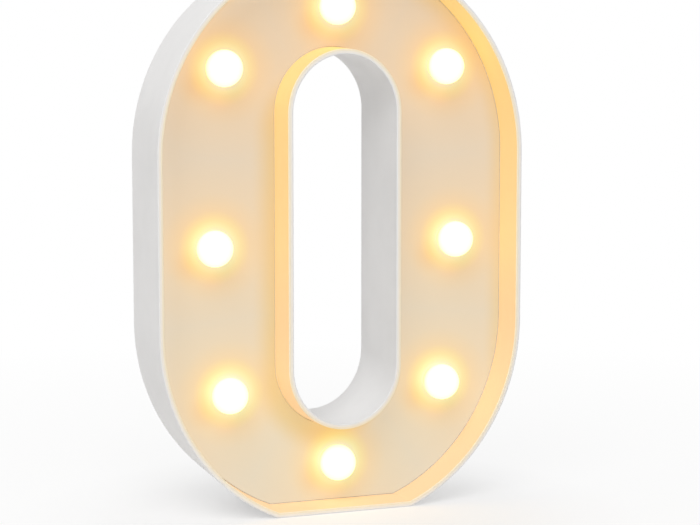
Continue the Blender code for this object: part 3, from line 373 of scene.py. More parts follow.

# Finish numbers: painted lamp light, and the full and the dim painted glow of lamp light on the
# rim.
LIT = 1
RIM_FULL_GLOW = 2
RIM_DIM_GLOW = 3
NOISE_SPAN = (0.3, 0.7)
CLOUD_SPAN = (0.35, 0.7)
CLOUD_SCALE = 45.0
FLOW_SCALE = 160.0
FLOW_SHARE = 0.35
WHITE_STYRENE = ((242, 241, 240), (239, 238, 237))
STYRENE_GRAIN = 0.0006
STYRENE_GLOSS = (0.42, 0.56)
STYRENE_BUMP = 0.000012
STYRENE_SHINE = 0.35
LIT_SHINE = 0.3
# Painted lamp light inside the recess: a warm colour that also glows, less yellow low down.
LIT_WALL_LOW = (243, 209, 167)
LIT_WALL_HIGH = (246, 213, 144)
LIT_WALL_RISE = (0.02, 0.2)
WALL_DEPTH_OF_TONE = 0.7
WALL_GLOW = 0.58
# The painted glow of lamp light on the rim round the recess, full near its inner edge and dim
# further out.
PAINTED_RIM_GLOW = (252, 240, 214)
PAINTED_DIM_RIM_GLOW = (250, 243, 232)


def spread(tree, value, low, high, to_low=0.0, to_high=1.0, way="SMOOTHSTEP"):
    """A value that runs from one level to another as its source rises."""
    values = {0: value, 1: low, 2: high, 3: to_low, 4: to_high}
    return add_node(tree, "MapRange", values, interpolation_type=way).outputs[0]


def new_group(name, inputs, outputs):
    """A shared effect: its tree, what it is given and the node that takes its results."""
    group = bpy.data.node_groups.new(name, "ShaderNodeTree")
    for way, labels in (("INPUT", inputs), ("OUTPUT", outputs)):
        for label in labels:
            group.interface.new_socket(name=label, in_out=way, socket_type="NodeSocketFloat")
    given = group.nodes.new("NodeGroupInput")
    return group, given.outputs, group.nodes.new("NodeGroupOutput")


def use_group(tree, group, *values):
    """The results of a shared effect in a material, from its inputs in their order."""
    return add_node(tree, "Group", dict(enumerate(values)), node_tree=group).outputs


def place_on(tree):
    """The place on the object that is being painted."""
    return add_node(tree, "TexCoord").outputs["Object"]


def parts_of(tree, place):
    """The three parts of a place, by name."""
    return add_node(tree, "SeparateXYZ", {0: place}).outputs


def moulded_grain():
    """The surface that a spark eroded mould leaves, as a height, a gloss and a cloudiness."""
    group, given, results = new_group("moulded_grain",
                                      ["Grain Size", "Gloss Low", "Gloss High"],
                                      ["Roughness", "Height", "Cloud"])
    place = place_on(group)
    fine = result_of(group, "DIVIDE", 1.0, given["Grain Size"])
    grain = noise(group, place, fine, detail=2.0)
    flow = noise(group, place, FLOW_SCALE, detail=4.0)
    waves = result_of(group, "MULTIPLY", flow, FLOW_SHARE)
    fill(group, results, {
        "Roughness": spread(group, flow, *NOISE_SPAN, given["Gloss Low"],
                            given["Gloss High"], "LINEAR"),
        "Height": result_of(group, "ADD", grain, waves),
        "Cloud": noise(group, place, CLOUD_SCALE),
    })
    return group


def mould(tree, shader, grain_size, gloss, bump, specular):
    """Give a shader the grain of moulded plastic, and return its cloudiness."""
    grain = use_group(tree, GRAIN, grain_size, *gloss)
    fill(tree, shader, {
        "Roughness": grain["Roughness"],
        "Normal": relief(tree, grain["Height"], bump),
        "Specular IOR Level": specular,
    })
    return grain["Cloud"]


def plastic(name, tones, grain_size=STYRENE_GRAIN, gloss=STYRENE_GLOSS,
            bump=STYRENE_BUMP, specular=STYRENE_SHINE):
    """Moulded plastic that wavers between two tones, with the casing's grain if none is named."""
    material, tree, shader = new_material(name)
    cloud = spread(tree, mould(tree, shader, grain_size, gloss, bump, specular), *CLOUD_SPAN)
    fill(tree, shader, {"Base Color": between(tree, cloud, tones)})
    return material


def toned(colour, share):
    """A colour brought down to a share of its strength."""
    red, green, blue, _ = paint(colour)
    return (red * share, green * share, blue * share, 1.0)


def light_up(tree, shader, glow, strength):
    """Let a shader both have a colour and give off light of it."""
    fill(tree, shader, {"Base Color": glow, "Emission Color": glow,
                        "Emission Strength": strength})


def lit_wall():
    """The same plastic inside the recess, in the warm light of the globes, painted on as colour
    and glow.
    """
    material, tree, shader = new_material("lit_wall")
    mould(tree, shader, STYRENE_GRAIN, STYRENE_GLOSS, STYRENE_BUMP, LIT_SHINE)
    # The painted lamp light is less yellow low on the walls.
    up = spread(tree, parts_of(tree, place_on(tree))["Z"], *LIT_WALL_RISE)
    glow = mixed(tree, up, toned(LIT_WALL_LOW, WALL_DEPTH_OF_TONE),
                 toned(LIT_WALL_HIGH, WALL_DEPTH_OF_TONE))
    light_up(tree, shader, glow, WALL_GLOW)
    return material


def arc(radius, start, end, steps):
    """Offsets along part of a circle, ends included."""
    points = []
    for step in range(steps + 1):
        angle = start + (end - start) * step / steps
        points.append((radius * math.cos(angle), radius * math.sin(angle)))
    return points


def crown(half_width, level, rise):
    """The upper right quarter of an outline, from its side to its top."""
    quarter = arc(1.0, 0.0, math.pi / 2, UPPER_STEPS)[:-1]
    return [(half_width * u, level + rise * v) for u, v in quarter] + [(0.0, level + rise)]


def both_sides(half, y):
    """A loop at one depth from its right half, which runs from bottom to top centre."""
    return [(x, y, z) for x, z in half + [(-x, z) for x, z in reversed(half[1:-1])]]


def number_loop(inset, y, corner):
    """The outside of the number at one depth, drawn in, with its foot cut flat."""
    foot = inset
    inset += BODY_TAPER * (y - FRONT) / DEPTH
    half_width = WIDTH / 2 - inset
    drop = LOWER_DROP - inset
    corner_z = foot + corner
    turn = math.acos((SIDE_BOTTOM - corner_z) / (drop - corner))
    corner_x = (half_width - corner) * math.sin(turn)
    half = [(0.0, foot)]
    half += [(corner_x + v, corner_z - u) for u, v in arc(corner, 0.0, turn, CORNER_STEPS)]
    for u, v in arc(1.0, turn, math.pi / 2, LOWER_STEPS)[1:]:
        half.append((half_width * v, SIDE_BOTTOM - drop * u))
    return both_sides(half + crown(half_width, SIDE_TOP, UPPER_RISE - inset), y)


def hole_loop(growth, y):
    """The hole at one depth, widened, with as many points as the outside."""
    growth += HOLE_TAPER * (y - FRONT) / DEPTH
    half_width = HOLE_WIDTH / 2 + growth
    rise = HOLE_END_RISE + growth
    quarter = arc(1.0, 0.0, math.pi / 2, CORNER_STEPS + 1 + LOWER_STEPS)
    half = [(half_width * v, HOLE_SIDE_BOTTOM - rise * u) for u, v in quarter]
    return both_sides(half + crown(half_width, HOLE_SIDE_TOP, rise), y)


def skin(mesh, loops, ring=False, finishes=None):
    """Skin a row of loops, capped at both ends or closed to a ring."""
    rows = [[mesh.verts.new(point) for point in loop] for loop in loops]
    pairs = list(zip(rows, rows[1:]))
    if ring:
        pairs.append((rows[-1], rows[0]))
    else:
        mesh.faces.new(rows[0])
        mesh.faces.new(rows[-1])
    for number, (row, following) in enumerate(pairs):
        for place in range(len(row)):
            after = (place + 1) % len(row)
            face = mesh.faces.new((row[place], row[after], following[after], following[place]))
            face.material_index = (finishes or {}).get(number, 0)


def shade(data):
    """Shade a mesh smooth but for its sharp edges."""
    data.shade_smooth()
    data.set_sharp_from_angle(angle=SHARP_ANGLE)


def piece_of(name, mesh, *materials):
    """An object of a finished mesh."""
    bmesh.ops.recalc_face_normals(mesh, faces=mesh.faces)
    data = bpy.data.meshes.new(name)
    mesh.to_mesh(data)
    mesh.free()
    for material in materials:
        data.materials.append(material)
    shade(data)
    return new_object(name, data)


def solid(name, loops, *materials, ring=False, finishes=None):
    """An object skinned from a row of loops."""
    mesh = bmesh.new()
    skin(mesh, loops, ring, finishes)
    return piece_of(name, mesh, *materials)


def work(piece, operation, *shapes):
    """Join, cut or trim a piece with shapes, each a row of loops, and keep the plain result."""
    mesh = bmesh.new()
    for loops in shapes:
        skin(mesh, loops)
    tool = piece_of("tool", mesh)
    modifier = piece.modifiers.new("Boolean", "BOOLEAN")
    modifier.solver = "EXACT"
    modifier.operation = operation
    modifier.object = tool
    graph = bpy.context.evaluated_depsgraph_get()
    result = bpy.data.meshes.new_from_object(piece.evaluated_get(graph))
    piece.modifiers.clear()
    piece.data = result
    bpy.data.objects.remove(tool)
    shape = bmesh.new()
    shape.from_mesh(result)
    bmesh.ops.remove_doubles(shape, verts=shape.verts, dist=WELD)
    shape.to_mesh(result)
    shape.free()
    shade(result)


def join(piece, *shapes):
    """Join shapes to a piece."""
    work(piece, "UNION", *shapes)


def cut(piece, *shapes):
    """Cut shapes out of a piece."""
    work(piece, "DIFFERENCE", *shapes)


def dress(piece, body, slot, *nodes):
    """Ride a piece on its body and hide the nodes it stands for. The slot is not used."""
    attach(piece, body)
    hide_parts(*nodes)


def round_box(x, z, width, height, corner, grow=0.0):
    """A rectangle round a middle, with round corners, drawn out by grow."""
    points = []
    for quarter, (side_x, side_z) in enumerate([(1, 1), (-1, 1), (-1, -1), (1, -1)]):
        start = math.pi / 2 * quarter
        for u, v in arc(corner + grow, start, start + math.pi / 2, 6):
            points.append((x + side_x * (width / 2 - corner) + u,
                           z + side_z * (height / 2 - corner) + v))
    return points


def door_shape(x, low, high, half_width, corner, grow):
    """Square along the hinge above and round at the free corners below."""
    points = [(x + half_width + grow, high + grow), (x - half_width - grow, high + grow)]
    for side, start in ((-1, math.pi), (1, 3 * math.pi / 2)):
        for u, v in arc(corner + grow, start, start + math.pi / 2, 8):
            points.append((x + side * (half_width - corner) + u, low + corner + v))
    return points


def seat_shape(grow):
    """The seat of the door."""
    return door_shape(BAY_X, BAY_LOW - DOOR_LAP, BAY_HIGH + DOOR_LAP,
                      BAY_HALF_WIDTH + DOOR_LAP, DOOR_CORNER, grow)


def dish_shape(grow):
    """The dish round the switch knob."""
    return round_box(BAY_X, SWITCH_Z, DISH_LENGTH, DISH_WIDTH, DISH_CORNER, grow)


def keyhole_shape(x, grow):
    """A round entry and the slot that runs up from it."""
    entry = KEYHOLE_ENTRY + grow
    half = KEYHOLE_SLOT + grow
    meeting = math.asin(half / entry)
    low = arc(entry, math.pi / 2 + meeting, 5 * math.pi / 2 - meeting, 32)
    high = arc(half, 0.0, math.pi, 14)
    return ([(x + u, KEYHOLE_Z + v) for u, v in low]
            + [(x + u, KEYHOLE_Z + KEYHOLE_RISE + v) for u, v in high])


def ring_shape(x, z, radius, steps=40):
    """A circle as a closed outline."""
    return [(x + u, z + v) for u, v in arc(radius, 0.0, 2 * math.pi, steps)[:-1]]


def rectangle(low_u, low_v, high_u, high_v):
    """A plain rectangle between two corners."""
    return [(low_u, low_v), (high_u, low_v), (high_u, high_v), (low_u, high_v)]


def bay_outline(radius, top, end, steps, shared):
    """The bay across both cells, from above round each. The two halves may share points."""
    right = [(CELL_PITCH / 2 + radius, top)]
    right += [(CELL_PITCH / 2 + u, CELL_Y + v) for u, v in arc(radius, 0.0, end, steps)]
    left = [(-x, y) for x, y in reversed(right[:len(right) - shared])]
    return [(BAY_X + x, y) for x, y in right + left]


def bar(outline, low, high, along="Y"):
    """A flat outline, carried straight from one level to another."""
    place = "XYZ".index(along)
    return [[(*point[:place], level, *point[place:]) for point in outline]
            for level in (low, high)]


def rods(places, radius, low, high):
    """A round bar at each of several places."""
    return [bar(ring_shape(x, z, radius), low, high) for x, z in places]


def mouthed(shape, low):
    """A cutter that goes in from the back to a depth, with a small chamfer at its mouth."""
    levels = [(low, 0.0), (BACK - MOUTH, 0.0), (BACK + PAST, MOUTH + PAST)]
    return [[(x, y, z) for x, z in shape(grow)] for y, grow in levels]


def tray_loops():
    """The section of the walls and the back, loop by loop, and the finish after each loop."""
    rim_end = FRONT + RIM_ROUND + EDGE_HOLD
    lined = WALL + LEDGE
    rim = arc(RIM_ROUND, -math.pi / 2, 0.0, 3)
    outside = [(RIM_ROUND - u, FRONT + RIM_ROUND + v) for u, v in rim]
    outside += [(0.0, rim_end), (0.0, BACK - BACK_ROUND - EDGE_HOLD)]
    outside += [(BACK_ROUND - u, BACK - BACK_ROUND + v)
                for u, v in arc(BACK_ROUND, 0.0, math.pi / 2, 6)]
    outside.append((BACK_ROUND + EDGE_HOLD, BACK))
    # Towards the recess the rim's front takes a dim and then the full painted glow of lamp light,
    # its round  the full one, and the wall inside the painted lamp light.
    inside = [(WALL * 0.25, FRONT, 0), (WALL * 0.6, FRONT, RIM_DIM_GLOW)]
    inside += [(WALL - RIM_ROUND + u, FRONT + RIM_ROUND + v, RIM_FULL_GLOW) for u, v in rim]
    inside += [(WALL, rim_end, LIT), (WALL, PLATE_FRONT, LIT), (WALL, LEDGE_FACE, 0),
               (lined, LEDGE_FACE, 0), (lined, CHAMBER_BACK, 0)]
    loops = [number_loop(inset, y, FOOT_CORNER) for inset, y in outside]
    loops += [hole_loop(inset, y) for inset, y in reversed(outside)]
    finishes = {}
    for inset, y, finish in inside:
        finishes[len(loops) - 1] = finish
        loops.append(hole_loop(inset, y))
    for inset, y, finish in reversed(inside):
        finishes[len(loops)] = finish
        loops.append(number_loop(inset, y, INNER_CORNER))
    return loops, finishes


def add_bay(tray):
    """The bay for two cells, the seat of its door, the tab notches and the finger scoop."""
    block = bay_outline(TROUGH_RADIUS + BAY_WALL, CHAMBER_BACK + PAST, -math.pi / 2,
                        BAY_WALL_STEPS, 0)
    join(tray, bar(block, BAY_LOW - BAY_WALL, BAY_HIGH + BAY_WALL, "Z"))
    cusp = math.acos(CELL_PITCH / 2 / TROUGH_RADIUS)
    pocket = bay_outline(TROUGH_RADIUS, BACK + PAST, cusp - math.pi, TROUGH_STEPS, 1)
    cut(tray, bar(pocket, BAY_LOW, BAY_HIGH, "Z"))
    cut(tray, mouthed(seat_shape, DOOR_SEAT))
    notches = []
    slots = []
    for side in (-1, 1):
        tab = BAY_X + side * TAB_X
        cell = BAY_X + side * CELL_PITCH / 2
        notch = rectangle(tab - NOTCH_HALF, NOTCH_FRONT, tab + NOTCH_HALF, CHAMBER_BACK)
        notches.append(bar(notch, BAY_HIGH - PAST, BAY_HIGH + NOTCH_RISE, "Z"))
        slots.append(bar(round_box(cell, CELL_Y, *SOLDER_SLOT), BAY_LOW - BAY_WALL - PAST,
                         BAY_LOW + PAST, "Z"))
    cut(tray, *notches)
    cut(tray, *slots)
    scoop = ring_shape(BACK + SCOOP_RADIUS - SCOOP_DEPTH, BAY_LOW - DOOR_LAP + SEAT_GAP,
                       SCOOP_RADIUS, 72)
    cut(tray, bar(scoop, BAY_X - LATCH_HALF, BAY_X + LATCH_HALF, "X"))


def add_dish(tray):
    """The dish round the switch knob, its window and the two brackets behind it."""
    behind = [bar(dish_shape(DISH_WALL), DISH_REAR, CHAMBER_BACK + PAST)]
    for side in (-1, 1):
        bracket = round_box(BAY_X + side * BRACKET_X, SWITCH_Z, *BRACKET)
        behind.append(bar(bracket, SHELL_REAR, DISH_REAR + PAST))
    join(tray, *behind)
    cut(tray, mouthed(dish_shape, DISH_FLOOR))
    window = round_box(BAY_X, SWITCH_Z, *WINDOW)
    cut(tray, bar(window, DISH_REAR - PAST, DISH_FLOOR + PAST))


def mould_casing():
    """The whole tray."""
    loops, finishes = tray_loops()
    # Plain white, the painted lamp light of the recess, and the rim's full and dim painted glow.
    tray = solid("casing_moulding", loops, WHITE_SHELL, lit_wall(),
                 plastic("rim_painted_lamp_glow", (PAINTED_RIM_GLOW, PAINTED_RIM_GLOW)),
                 plastic("rim_painted_dim_lamp_glow", (PAINTED_DIM_RIM_GLOW, PAINTED_DIM_RIM_GLOW)),
                 ring=True, finishes=finishes)
    join(tray, *rods(BOSSES, BOSS_RADIUS, BOSS_FACE, CHAMBER_BACK + PAST))
    add_bay(tray)
    cut(tray, *[
        mouthed(lambda grow: ring_shape(x, z, COUNTERBORE_RADIUS + grow), COUNTERBORE_FLOOR)
        for x, z in BOSSES])
    cut(tray, *rods(BOSSES, SCREW_HOLE_RADIUS, BOSS_FACE - PAST, COUNTERBORE_FLOOR + PAST))
    add_dish(tray)
    cut(tray, *[
        mouthed(lambda grow: keyhole_shape(side * KEYHOLE_X, grow), CHAMBER_BACK - PAST)
        for side in (-1, 1)])
    dress(tray, "root", "white_shell", "casing")


GRAIN = moulded_grain()
WHITE_SHELL = plastic("white_shell", WHITE_STYRENE)
mould_casing()


# Face plate
# A flat panel of the same white plastic, laid on the ledge inside the walls and held by screws
# from behind. Its eight holes take the necks of the globes, which flood it with warm light. That
# light is painted on: a glow with a halo at each globe, painted warm shade near the walls and
# painted light near the left wall.

LAMPS = {
    "lower_left": (-0.0456, 0.049),
    "bottom": (0.0, 0.0186),
    "lower_right": (0.0456, 0.049),
    "middle_right": (0.0514, 0.1079),
    "upper_right": (0.047, 0.1784),
    "top": (0.0, 0.2024),
    "upper_left": (-0.047, 0.1784),
    "middle_left": (-0.0514, 0.1079),
}
PLATE_EDGE = 0.0001
PLATE_OUTER_FIT = 0.00012
PLATE_RING_FIT = 0.0002
NECK_HOLE = 0.0048
POST_RADIUS = 0.0032
PILOT_RADIUS = 0.00145
PILOT_DEPTH = 0.0098

# Painted lamp light on the plate: a halo round each globe, given as colour and as a glow.
HALO_REACH = 0.04
HALO_SHIFT = (0.0016, -0.0004)
PLATE_GLOW = [
    (0.0064, (235, 231, 212)),
    (0.008, (233, 228, 189)),
    (0.009, (237, 230, 177)),
    (0.011, (239, 221, 164)),
    (0.013, (238, 214, 164)),
    (0.015, (235, 210, 170)),
    (0.022, (229, 211, 181)),
    (0.036, (224, 211, 187)),
]
PLATE_GRAIN = 0.0007
PLATE_GLOSS = (0.45, 0.6)
FINE_BUMP = 0.00001
PLATE_DEPTH_OF_TONE = 0.4
PLATE_GLOW_STRENGTH = 1.54
# Painted tints of the halos: warmer to the lower left of each globe and redder just below it.
HALO_TINTS = [((-0.0084, -0.0068), 0.0095, (1.0, 0.92, 0.82, 1.0)),
              ((0.0, -0.0115), 0.008, (1.06, 0.99, 0.97, 1.0))]
# Painted warm shade near the wall round the hole and the right wall, and painted light near the
# left wall.
WALL_SHADE_TINT = (1.0, 0.88, 0.6, 1.0)
WALL_SHADE_AND_LIGHT_REACH = 0.011
LEFT_WALL_LIGHT_TINT = (1.06, 1.09, 1.13, 1.0)
LEFT_WALL_LIGHT_SHIFT = 0.003
# The painted lamp light on the plate is paler low down.
PLATE_LOW_TINT = (1.05, 1.09, 1.13, 1.0)
PLATE_HIGH_TINT = (1.05, 0.99, 0.985, 1.0)
PLATE_TINT_TOP = 0.2
# Shifts that put the painted shade on the lower left of the ring and on the right wall.
LEE_SHIFT = 0.004
LEE_DROP = 0.008
FAR_SIDE_SHIFT = 0.003
FAR_SIDE_BEYOND = 0.0055


def lamp_distance():
    """How far a place on the plate is from the line through the nearest lamp, once shifted."""
    group, given, results = new_group("lamp_distance", ["Shift X", "Shift Z"], ["Distance"])
    flat = vector_step(group, "MULTIPLY", place_on(group), (1.0, 0.0, 1.0))
    shift = add_node(group, "CombineXYZ", {"X": given["Shift X"], "Z": given["Shift Z"]})
    flat = vector_step(group, "SUBTRACT", flat, shift.outputs[0])
    nearest = 1.0
    for x, z in LAMPS.values():
        away = vector_step(group, "DISTANCE", flat, (x, 0.0, z), "Value")
        nearest = result_of(group, "MINIMUM", nearest, away)
    fill(group, results, {"Distance": nearest})
    return group


def from_lamp(tree, lamps, shift):
    """How far a place is from the nearest lamp, once the lamps are shifted."""
    return use_group(tree, lamps, *shift)["Distance"]


def from_core(tree, parts, shift, low, high, half_width):
    """How far a shifted place is from a wall that runs round an upright core line."""
    x = result_of(tree, "ADD", parts["X"], shift[0])
    z = result_of(tree, "ADD", parts["Z"], shift[1])
    held = add_node(tree, "Clamp", {"Value": z, "Min": low, "Max": high}).outputs[0]
    above = result_of(tree, "SUBTRACT", z, held)
    squares = result_of(tree, "ADD", result_of(tree, "MULTIPLY", x, x),
                        result_of(tree, "MULTIPLY", above, above))
    return result_of(tree, "SUBTRACT", result_of(tree, "SQRT", squares), half_width)


def inside_wall(tree, parts, shift, beyond):
    """How far a shifted place is inside the outer wall, or a line a little beyond it."""
    outer = from_core(tree, parts, (shift, 0.0), 0.0, SIDE_TOP, WIDTH / 2 - WALL + beyond)
    return result_of(tree, "MULTIPLY", outer, -1.0)


def fading(tree, distance, reach):
    """One at no distance, and nought from a reach on."""
    return spread(tree, distance, 0.0, reach, 1.0, 0.0)


def lit_plate():
    """White plastic under painted lamp light: a pale warm field with a round halo at each globe.
    """
    material, tree, shader = new_material("lit_plate")
    mould(tree, shader, PLATE_GRAIN, PLATE_GLOSS, FINE_BUMP, LIT_SHINE)
    parts = parts_of(tree, place_on(tree))
    # Painted warm shade near the lower left of the ring and the right wall, painted light near
    # the left wall.
    ring = from_core(tree, parts, (LEE_SHIFT, LEE_DROP), HOLE_SIDE_BOTTOM, HOLE_SIDE_TOP,
                     HOLE_WIDTH / 2 + WALL - LEE_SHIFT)
    inward = inside_wall(tree, parts, FAR_SIDE_SHIFT, FAR_SIDE_BEYOND)
    wall = result_of(tree, "MINIMUM", ring, inward)
    left = inside_wall(tree, parts, -LEFT_WALL_LIGHT_SHIFT, LEFT_WALL_LIGHT_SHIFT)
    # The painted lamp light is paler low on the plate.
    up = spread(tree, parts["Z"], 0.0, PLATE_TINT_TOP)
    tints = [(fading(tree, wall, WALL_SHADE_AND_LIGHT_REACH), WALL_SHADE_TINT),
             (fading(tree, left, WALL_SHADE_AND_LIGHT_REACH), LEFT_WALL_LIGHT_TINT),
             (1.0, mixed(tree, up, PLATE_LOW_TINT, PLATE_HIGH_TINT))]
    # Painted halos round the globes, with their painted tints.
    lamps = lamp_distance()
    for shift, reach, colour in HALO_TINTS:
        tints.append((fading(tree, from_lamp(tree, lamps, shift), reach), colour))
    stops = [(reach, toned(colour, PLATE_DEPTH_OF_TONE)) for reach, colour in PLATE_GLOW]
    glow = ramp(tree, from_lamp(tree, lamps, HALO_SHIFT), HALO_REACH, stops)
    for share, tint in tints:
        glow = mixed(tree, share, glow, tint, "MULTIPLY")
    light_up(tree, shader, glow, PLATE_GLOW_STRENGTH)
    return material


def make_face_plate():
    """The panel with its softened edges, the screw posts behind it and the holes."""
    outer = WALL + PLATE_OUTER_FIT
    inner = WALL + PLATE_RING_FIT
    levels = [(PLATE_EDGE, PLATE_FRONT), (0.0, PLATE_FRONT + PLATE_EDGE), (0.0, PLATE_REAR)]
    loops = [number_loop(outer + inset, y, INNER_CORNER) for inset, y in levels]
    loops += [hole_loop(inner + inset, y) for inset, y in reversed(levels)]
    plate = solid("face_panel", loops, WHITE_SHELL, lit_plate(), ring=True,
                  finishes={3: LIT, 4: LIT, 5: LIT})
    join(plate, *rods(BOSSES, POST_RADIUS, PLATE_REAR - PAST, POST_TIP))
    cut(plate, *rods(BOSSES, PILOT_RADIUS, POST_TIP - PILOT_DEPTH, POST_TIP + PAST))
    cut(plate, *rods(LAMPS.values(), NECK_HOLE, PLATE_FRONT - PAST, PLATE_REAR + PAST))
    dress(plate, "root", "face_plate", "face_plate")


make_face_plate()


# Globe lamps
# Eight hollow necked balls of frosted white plastic, pushed through the plate from the front
# until the bead on the neck snaps behind it. Each is lit through and through by its diode.

GLOBE_RADIUS = 0.00725
GLOBE_STANDOFF = 0.00635
GLOBE_Y = PLATE_FRONT - GLOBE_STANDOFF
COLLAR_RADIUS = 0.0056
COLLAR_THICKNESS = 0.0009
COLLAR_EDGE = 0.0002
NECK_RADIUS = 0.0045
NECK_TAIL = 0.002
BEAD_RADIUS = 0.00495
BEAD_LENGTH = 0.001
DIODE_RADIUS = 0.0025
DIODE_LENGTH = 0.0078
DIODE_FLANGE_RADIUS = 0.0029
DIODE_FLANGE = 0.001
GLOBE_TONES = ((255, 255, 250), (255, 236, 175))
GLOBE_WARM_DEPTHS = (-0.0022, 0.005)
GLOBE_GLOW = 1.6
GLOBE_SKIN = (255, 239, 192)
GLOBE_SKIN_ROUGHNESS = 0.6
GLOBE_GLOSS = (0.35, 0.5)
FROST_SCALE = 1500.0


def frosted_globe():
    """Frosted plastic, white hot over the diode and warmer towards the collar."""
    material, tree, shader = new_material("frosted_globe")
    place = place_on(tree)
    frost = noise(tree, place, FROST_SCALE)
    warm = spread(tree, parts_of(tree, place)["Y"], *GLOBE_WARM_DEPTHS)
    light_up(tree, shader, between(tree, warm, GLOBE_TONES), GLOBE_GLOW)
    fill(tree, shader, {
        "Roughness": spread(tree, frost, *NOISE_SPAN, *GLOBE_GLOSS),
        "Normal": relief(tree, frost, FINE_BUMP),
        "Coat Weight": 1.0,
        "Coat Roughness": GLOBE_SKIN_ROUGHNESS,
        "Coat Tint": paint(GLOBE_SKIN),
    })
    return material


def turned(name, profile, steps, *materials, marks=None):
    """A piece turned about a line along Y. Its profile starts and ends on the line."""
    mesh = bmesh.new()
    rows = []
    for radius, y in profile:
        circle = ring_shape(0.0, 0.0, radius, steps) if radius else [(0.0, 0.0)]
        rows.append([mesh.verts.new((u, y, v)) for u, v in circle])
    for number, (row, following) in enumerate(zip(rows, rows[1:])):
        for place in range(steps):
            after = (place + 1) % steps
            if len(row) == 1:
                corners = (row[0], following[after], following[place])
            elif len(following) == 1:
                corners = (row[place], row[after], following[0])
            else:
                corners = (row[place], row[after], following[after], following[place])
            mesh.faces.new(corners).material_index = marks[number] if marks else 0
    return piece_of(name, mesh, *materials)


def with_copies(first, names):
    """A first piece, and a piece of the same mould for each further name."""
    return [first] + [new_object(name, first.data) for name in names[1:]]


def globe_profile():
    """The ball, its collar on the plate, the neck through it, the bead and the bore."""
    collar_back = PLATE_FRONT - SEAT_GAP - GLOBE_Y
    collar_front = collar_back - COLLAR_THICKNESS
    bead = PLATE_REAR + SEAT_GAP - GLOBE_Y
    end = PLATE_REAR + NECK_TAIL - GLOBE_Y
    mouth = DIODE_FLANGE_RADIUS + SEAT_GAP
    bore = DIODE_RADIUS + SEAT_GAP
    step = end - DIODE_FLANGE - SEAT_GAP
    last = math.acos(-collar_front / GLOBE_RADIUS)
    return [(v, -u) for u, v in arc(GLOBE_RADIUS, 0.0, last, 24)] + [
        (COLLAR_RADIUS - COLLAR_EDGE, collar_front),
        (COLLAR_RADIUS, collar_front + COLLAR_EDGE),
        (COLLAR_RADIUS, collar_back),
        (NECK_RADIUS, collar_back),
        (NECK_RADIUS, bead),
        (BEAD_RADIUS, bead),
        (NECK_RADIUS, bead + BEAD_LENGTH),
        (NECK_RADIUS, end),
        (mouth, end),
        (mouth, step),
        (bore, step),
        (bore, step - DIODE_LENGTH),
        (0.0, step - DIODE_LENGTH),
    ]


def make_globes():
    """Eight globes from one mould."""
    names = ["globe_cap_" + place for place in LAMPS]
    first = turned(names[0], globe_profile(), 56, frosted_globe())
    for cap, (place, (x, z)) in zip(with_copies(first, names), LAMPS.items()):
        cap.location = (x, GLOBE_Y, z)
        dress(cap, "root", "globe", "globe_" + place)


make_globes()


# Diodes
# A 5 mm light emitting diode in the neck of each globe, cast in warm clear epoxy round two tinned
# legs. Its flange stops in the mouth of the neck and its legs are soldered to the wires.

DIODE_REAR = PLATE_REAR + NECK_TAIL
FLANGE_EDGE = 0.0001
LEG_PITCH = 0.00254
LEG_SIDE = 0.0005
LEG_LENGTH = 0.0032
LEG_START = 0.00001
EPOXY_AND_TIN = ((244, 205, 120), (196, 196, 194))
EPOXY_LIGHT = ((255, 226, 150), (0, 0, 0))
EPOXY_GLOW = 0.8
EPOXY_COAT = 0.3
DRAWN_OUT = (1.0, 0.12, 1.0)
BLOOM_SCALE = 700.0
BLOOM_SPAN = (0.4, 0.75)
RUB_BUMP = 0.000006


def rubbed_metal():
    """Fine rub marks and a dull bloom, as a gloss, a height and a tone."""
    group, given, results = new_group("rubbed_metal", ["Mark Size", "Gloss Low", "Gloss High"],
                                      ["Roughness", "Height", "Bloom"])
    place = place_on(group)
    drawn = vector_step(group, "MULTIPLY", place, DRAWN_OUT)
    fine = result_of(group, "DIVIDE", 1.0, given["Mark Size"])
    marks = noise(group, drawn, fine, detail=4.0)
    fill(group, results, {
        "Roughness": spread(group, marks, *NOISE_SPAN, given["Gloss Low"],
                            given["Gloss High"], "LINEAR"),
        "Height": marks,
        "Bloom": noise(group, place, BLOOM_SCALE),
    })
    return group


def metal(name, tones, mark_size, gloss):
    """Plated or tinned metal with its rub marks."""
    material, tree, shader = new_material(name)
    rub = use_group(tree, RUB, mark_size, *gloss)
    bloom = spread(tree, rub["Bloom"], *BLOOM_SPAN)
    fill(tree, shader, {
        "Base Color": between(tree, bloom, tones),
        "Metallic": 1.0,
        "Roughness": rub["Roughness"],
        "Normal": relief(tree, rub["Height"], RUB_BUMP),
    })
    return material


def epoxy_and_tin():
    """Warm epoxy forward of the flange's rear face, bright tin on the legs behind it."""
    material, tree, shader = new_material("diode")
    depth = parts_of(tree, place_on(tree))["Y"]
    leg = result_of(tree, "GREATER_THAN", depth, LEG_START)
    fill(tree, shader, {
        "Base Color": between(tree, leg, EPOXY_AND_TIN),
        "Metallic": leg,
        "Roughness": use_group(tree, RUB, 0.0004, 0.18, 0.32)["Roughness"],
        "Emission Color": between(tree, leg, EPOXY_LIGHT),
        "Emission Strength": EPOXY_GLOW,
        "Coat Weight": EPOXY_COAT,
    })
    return material


def outward(x, z):
    """The way out from the middle line of the number at a place."""
    nearest = min(max(z, SIDE_BOTTOM), SIDE_TOP)
    return Vector((x, z - nearest)).normalized()


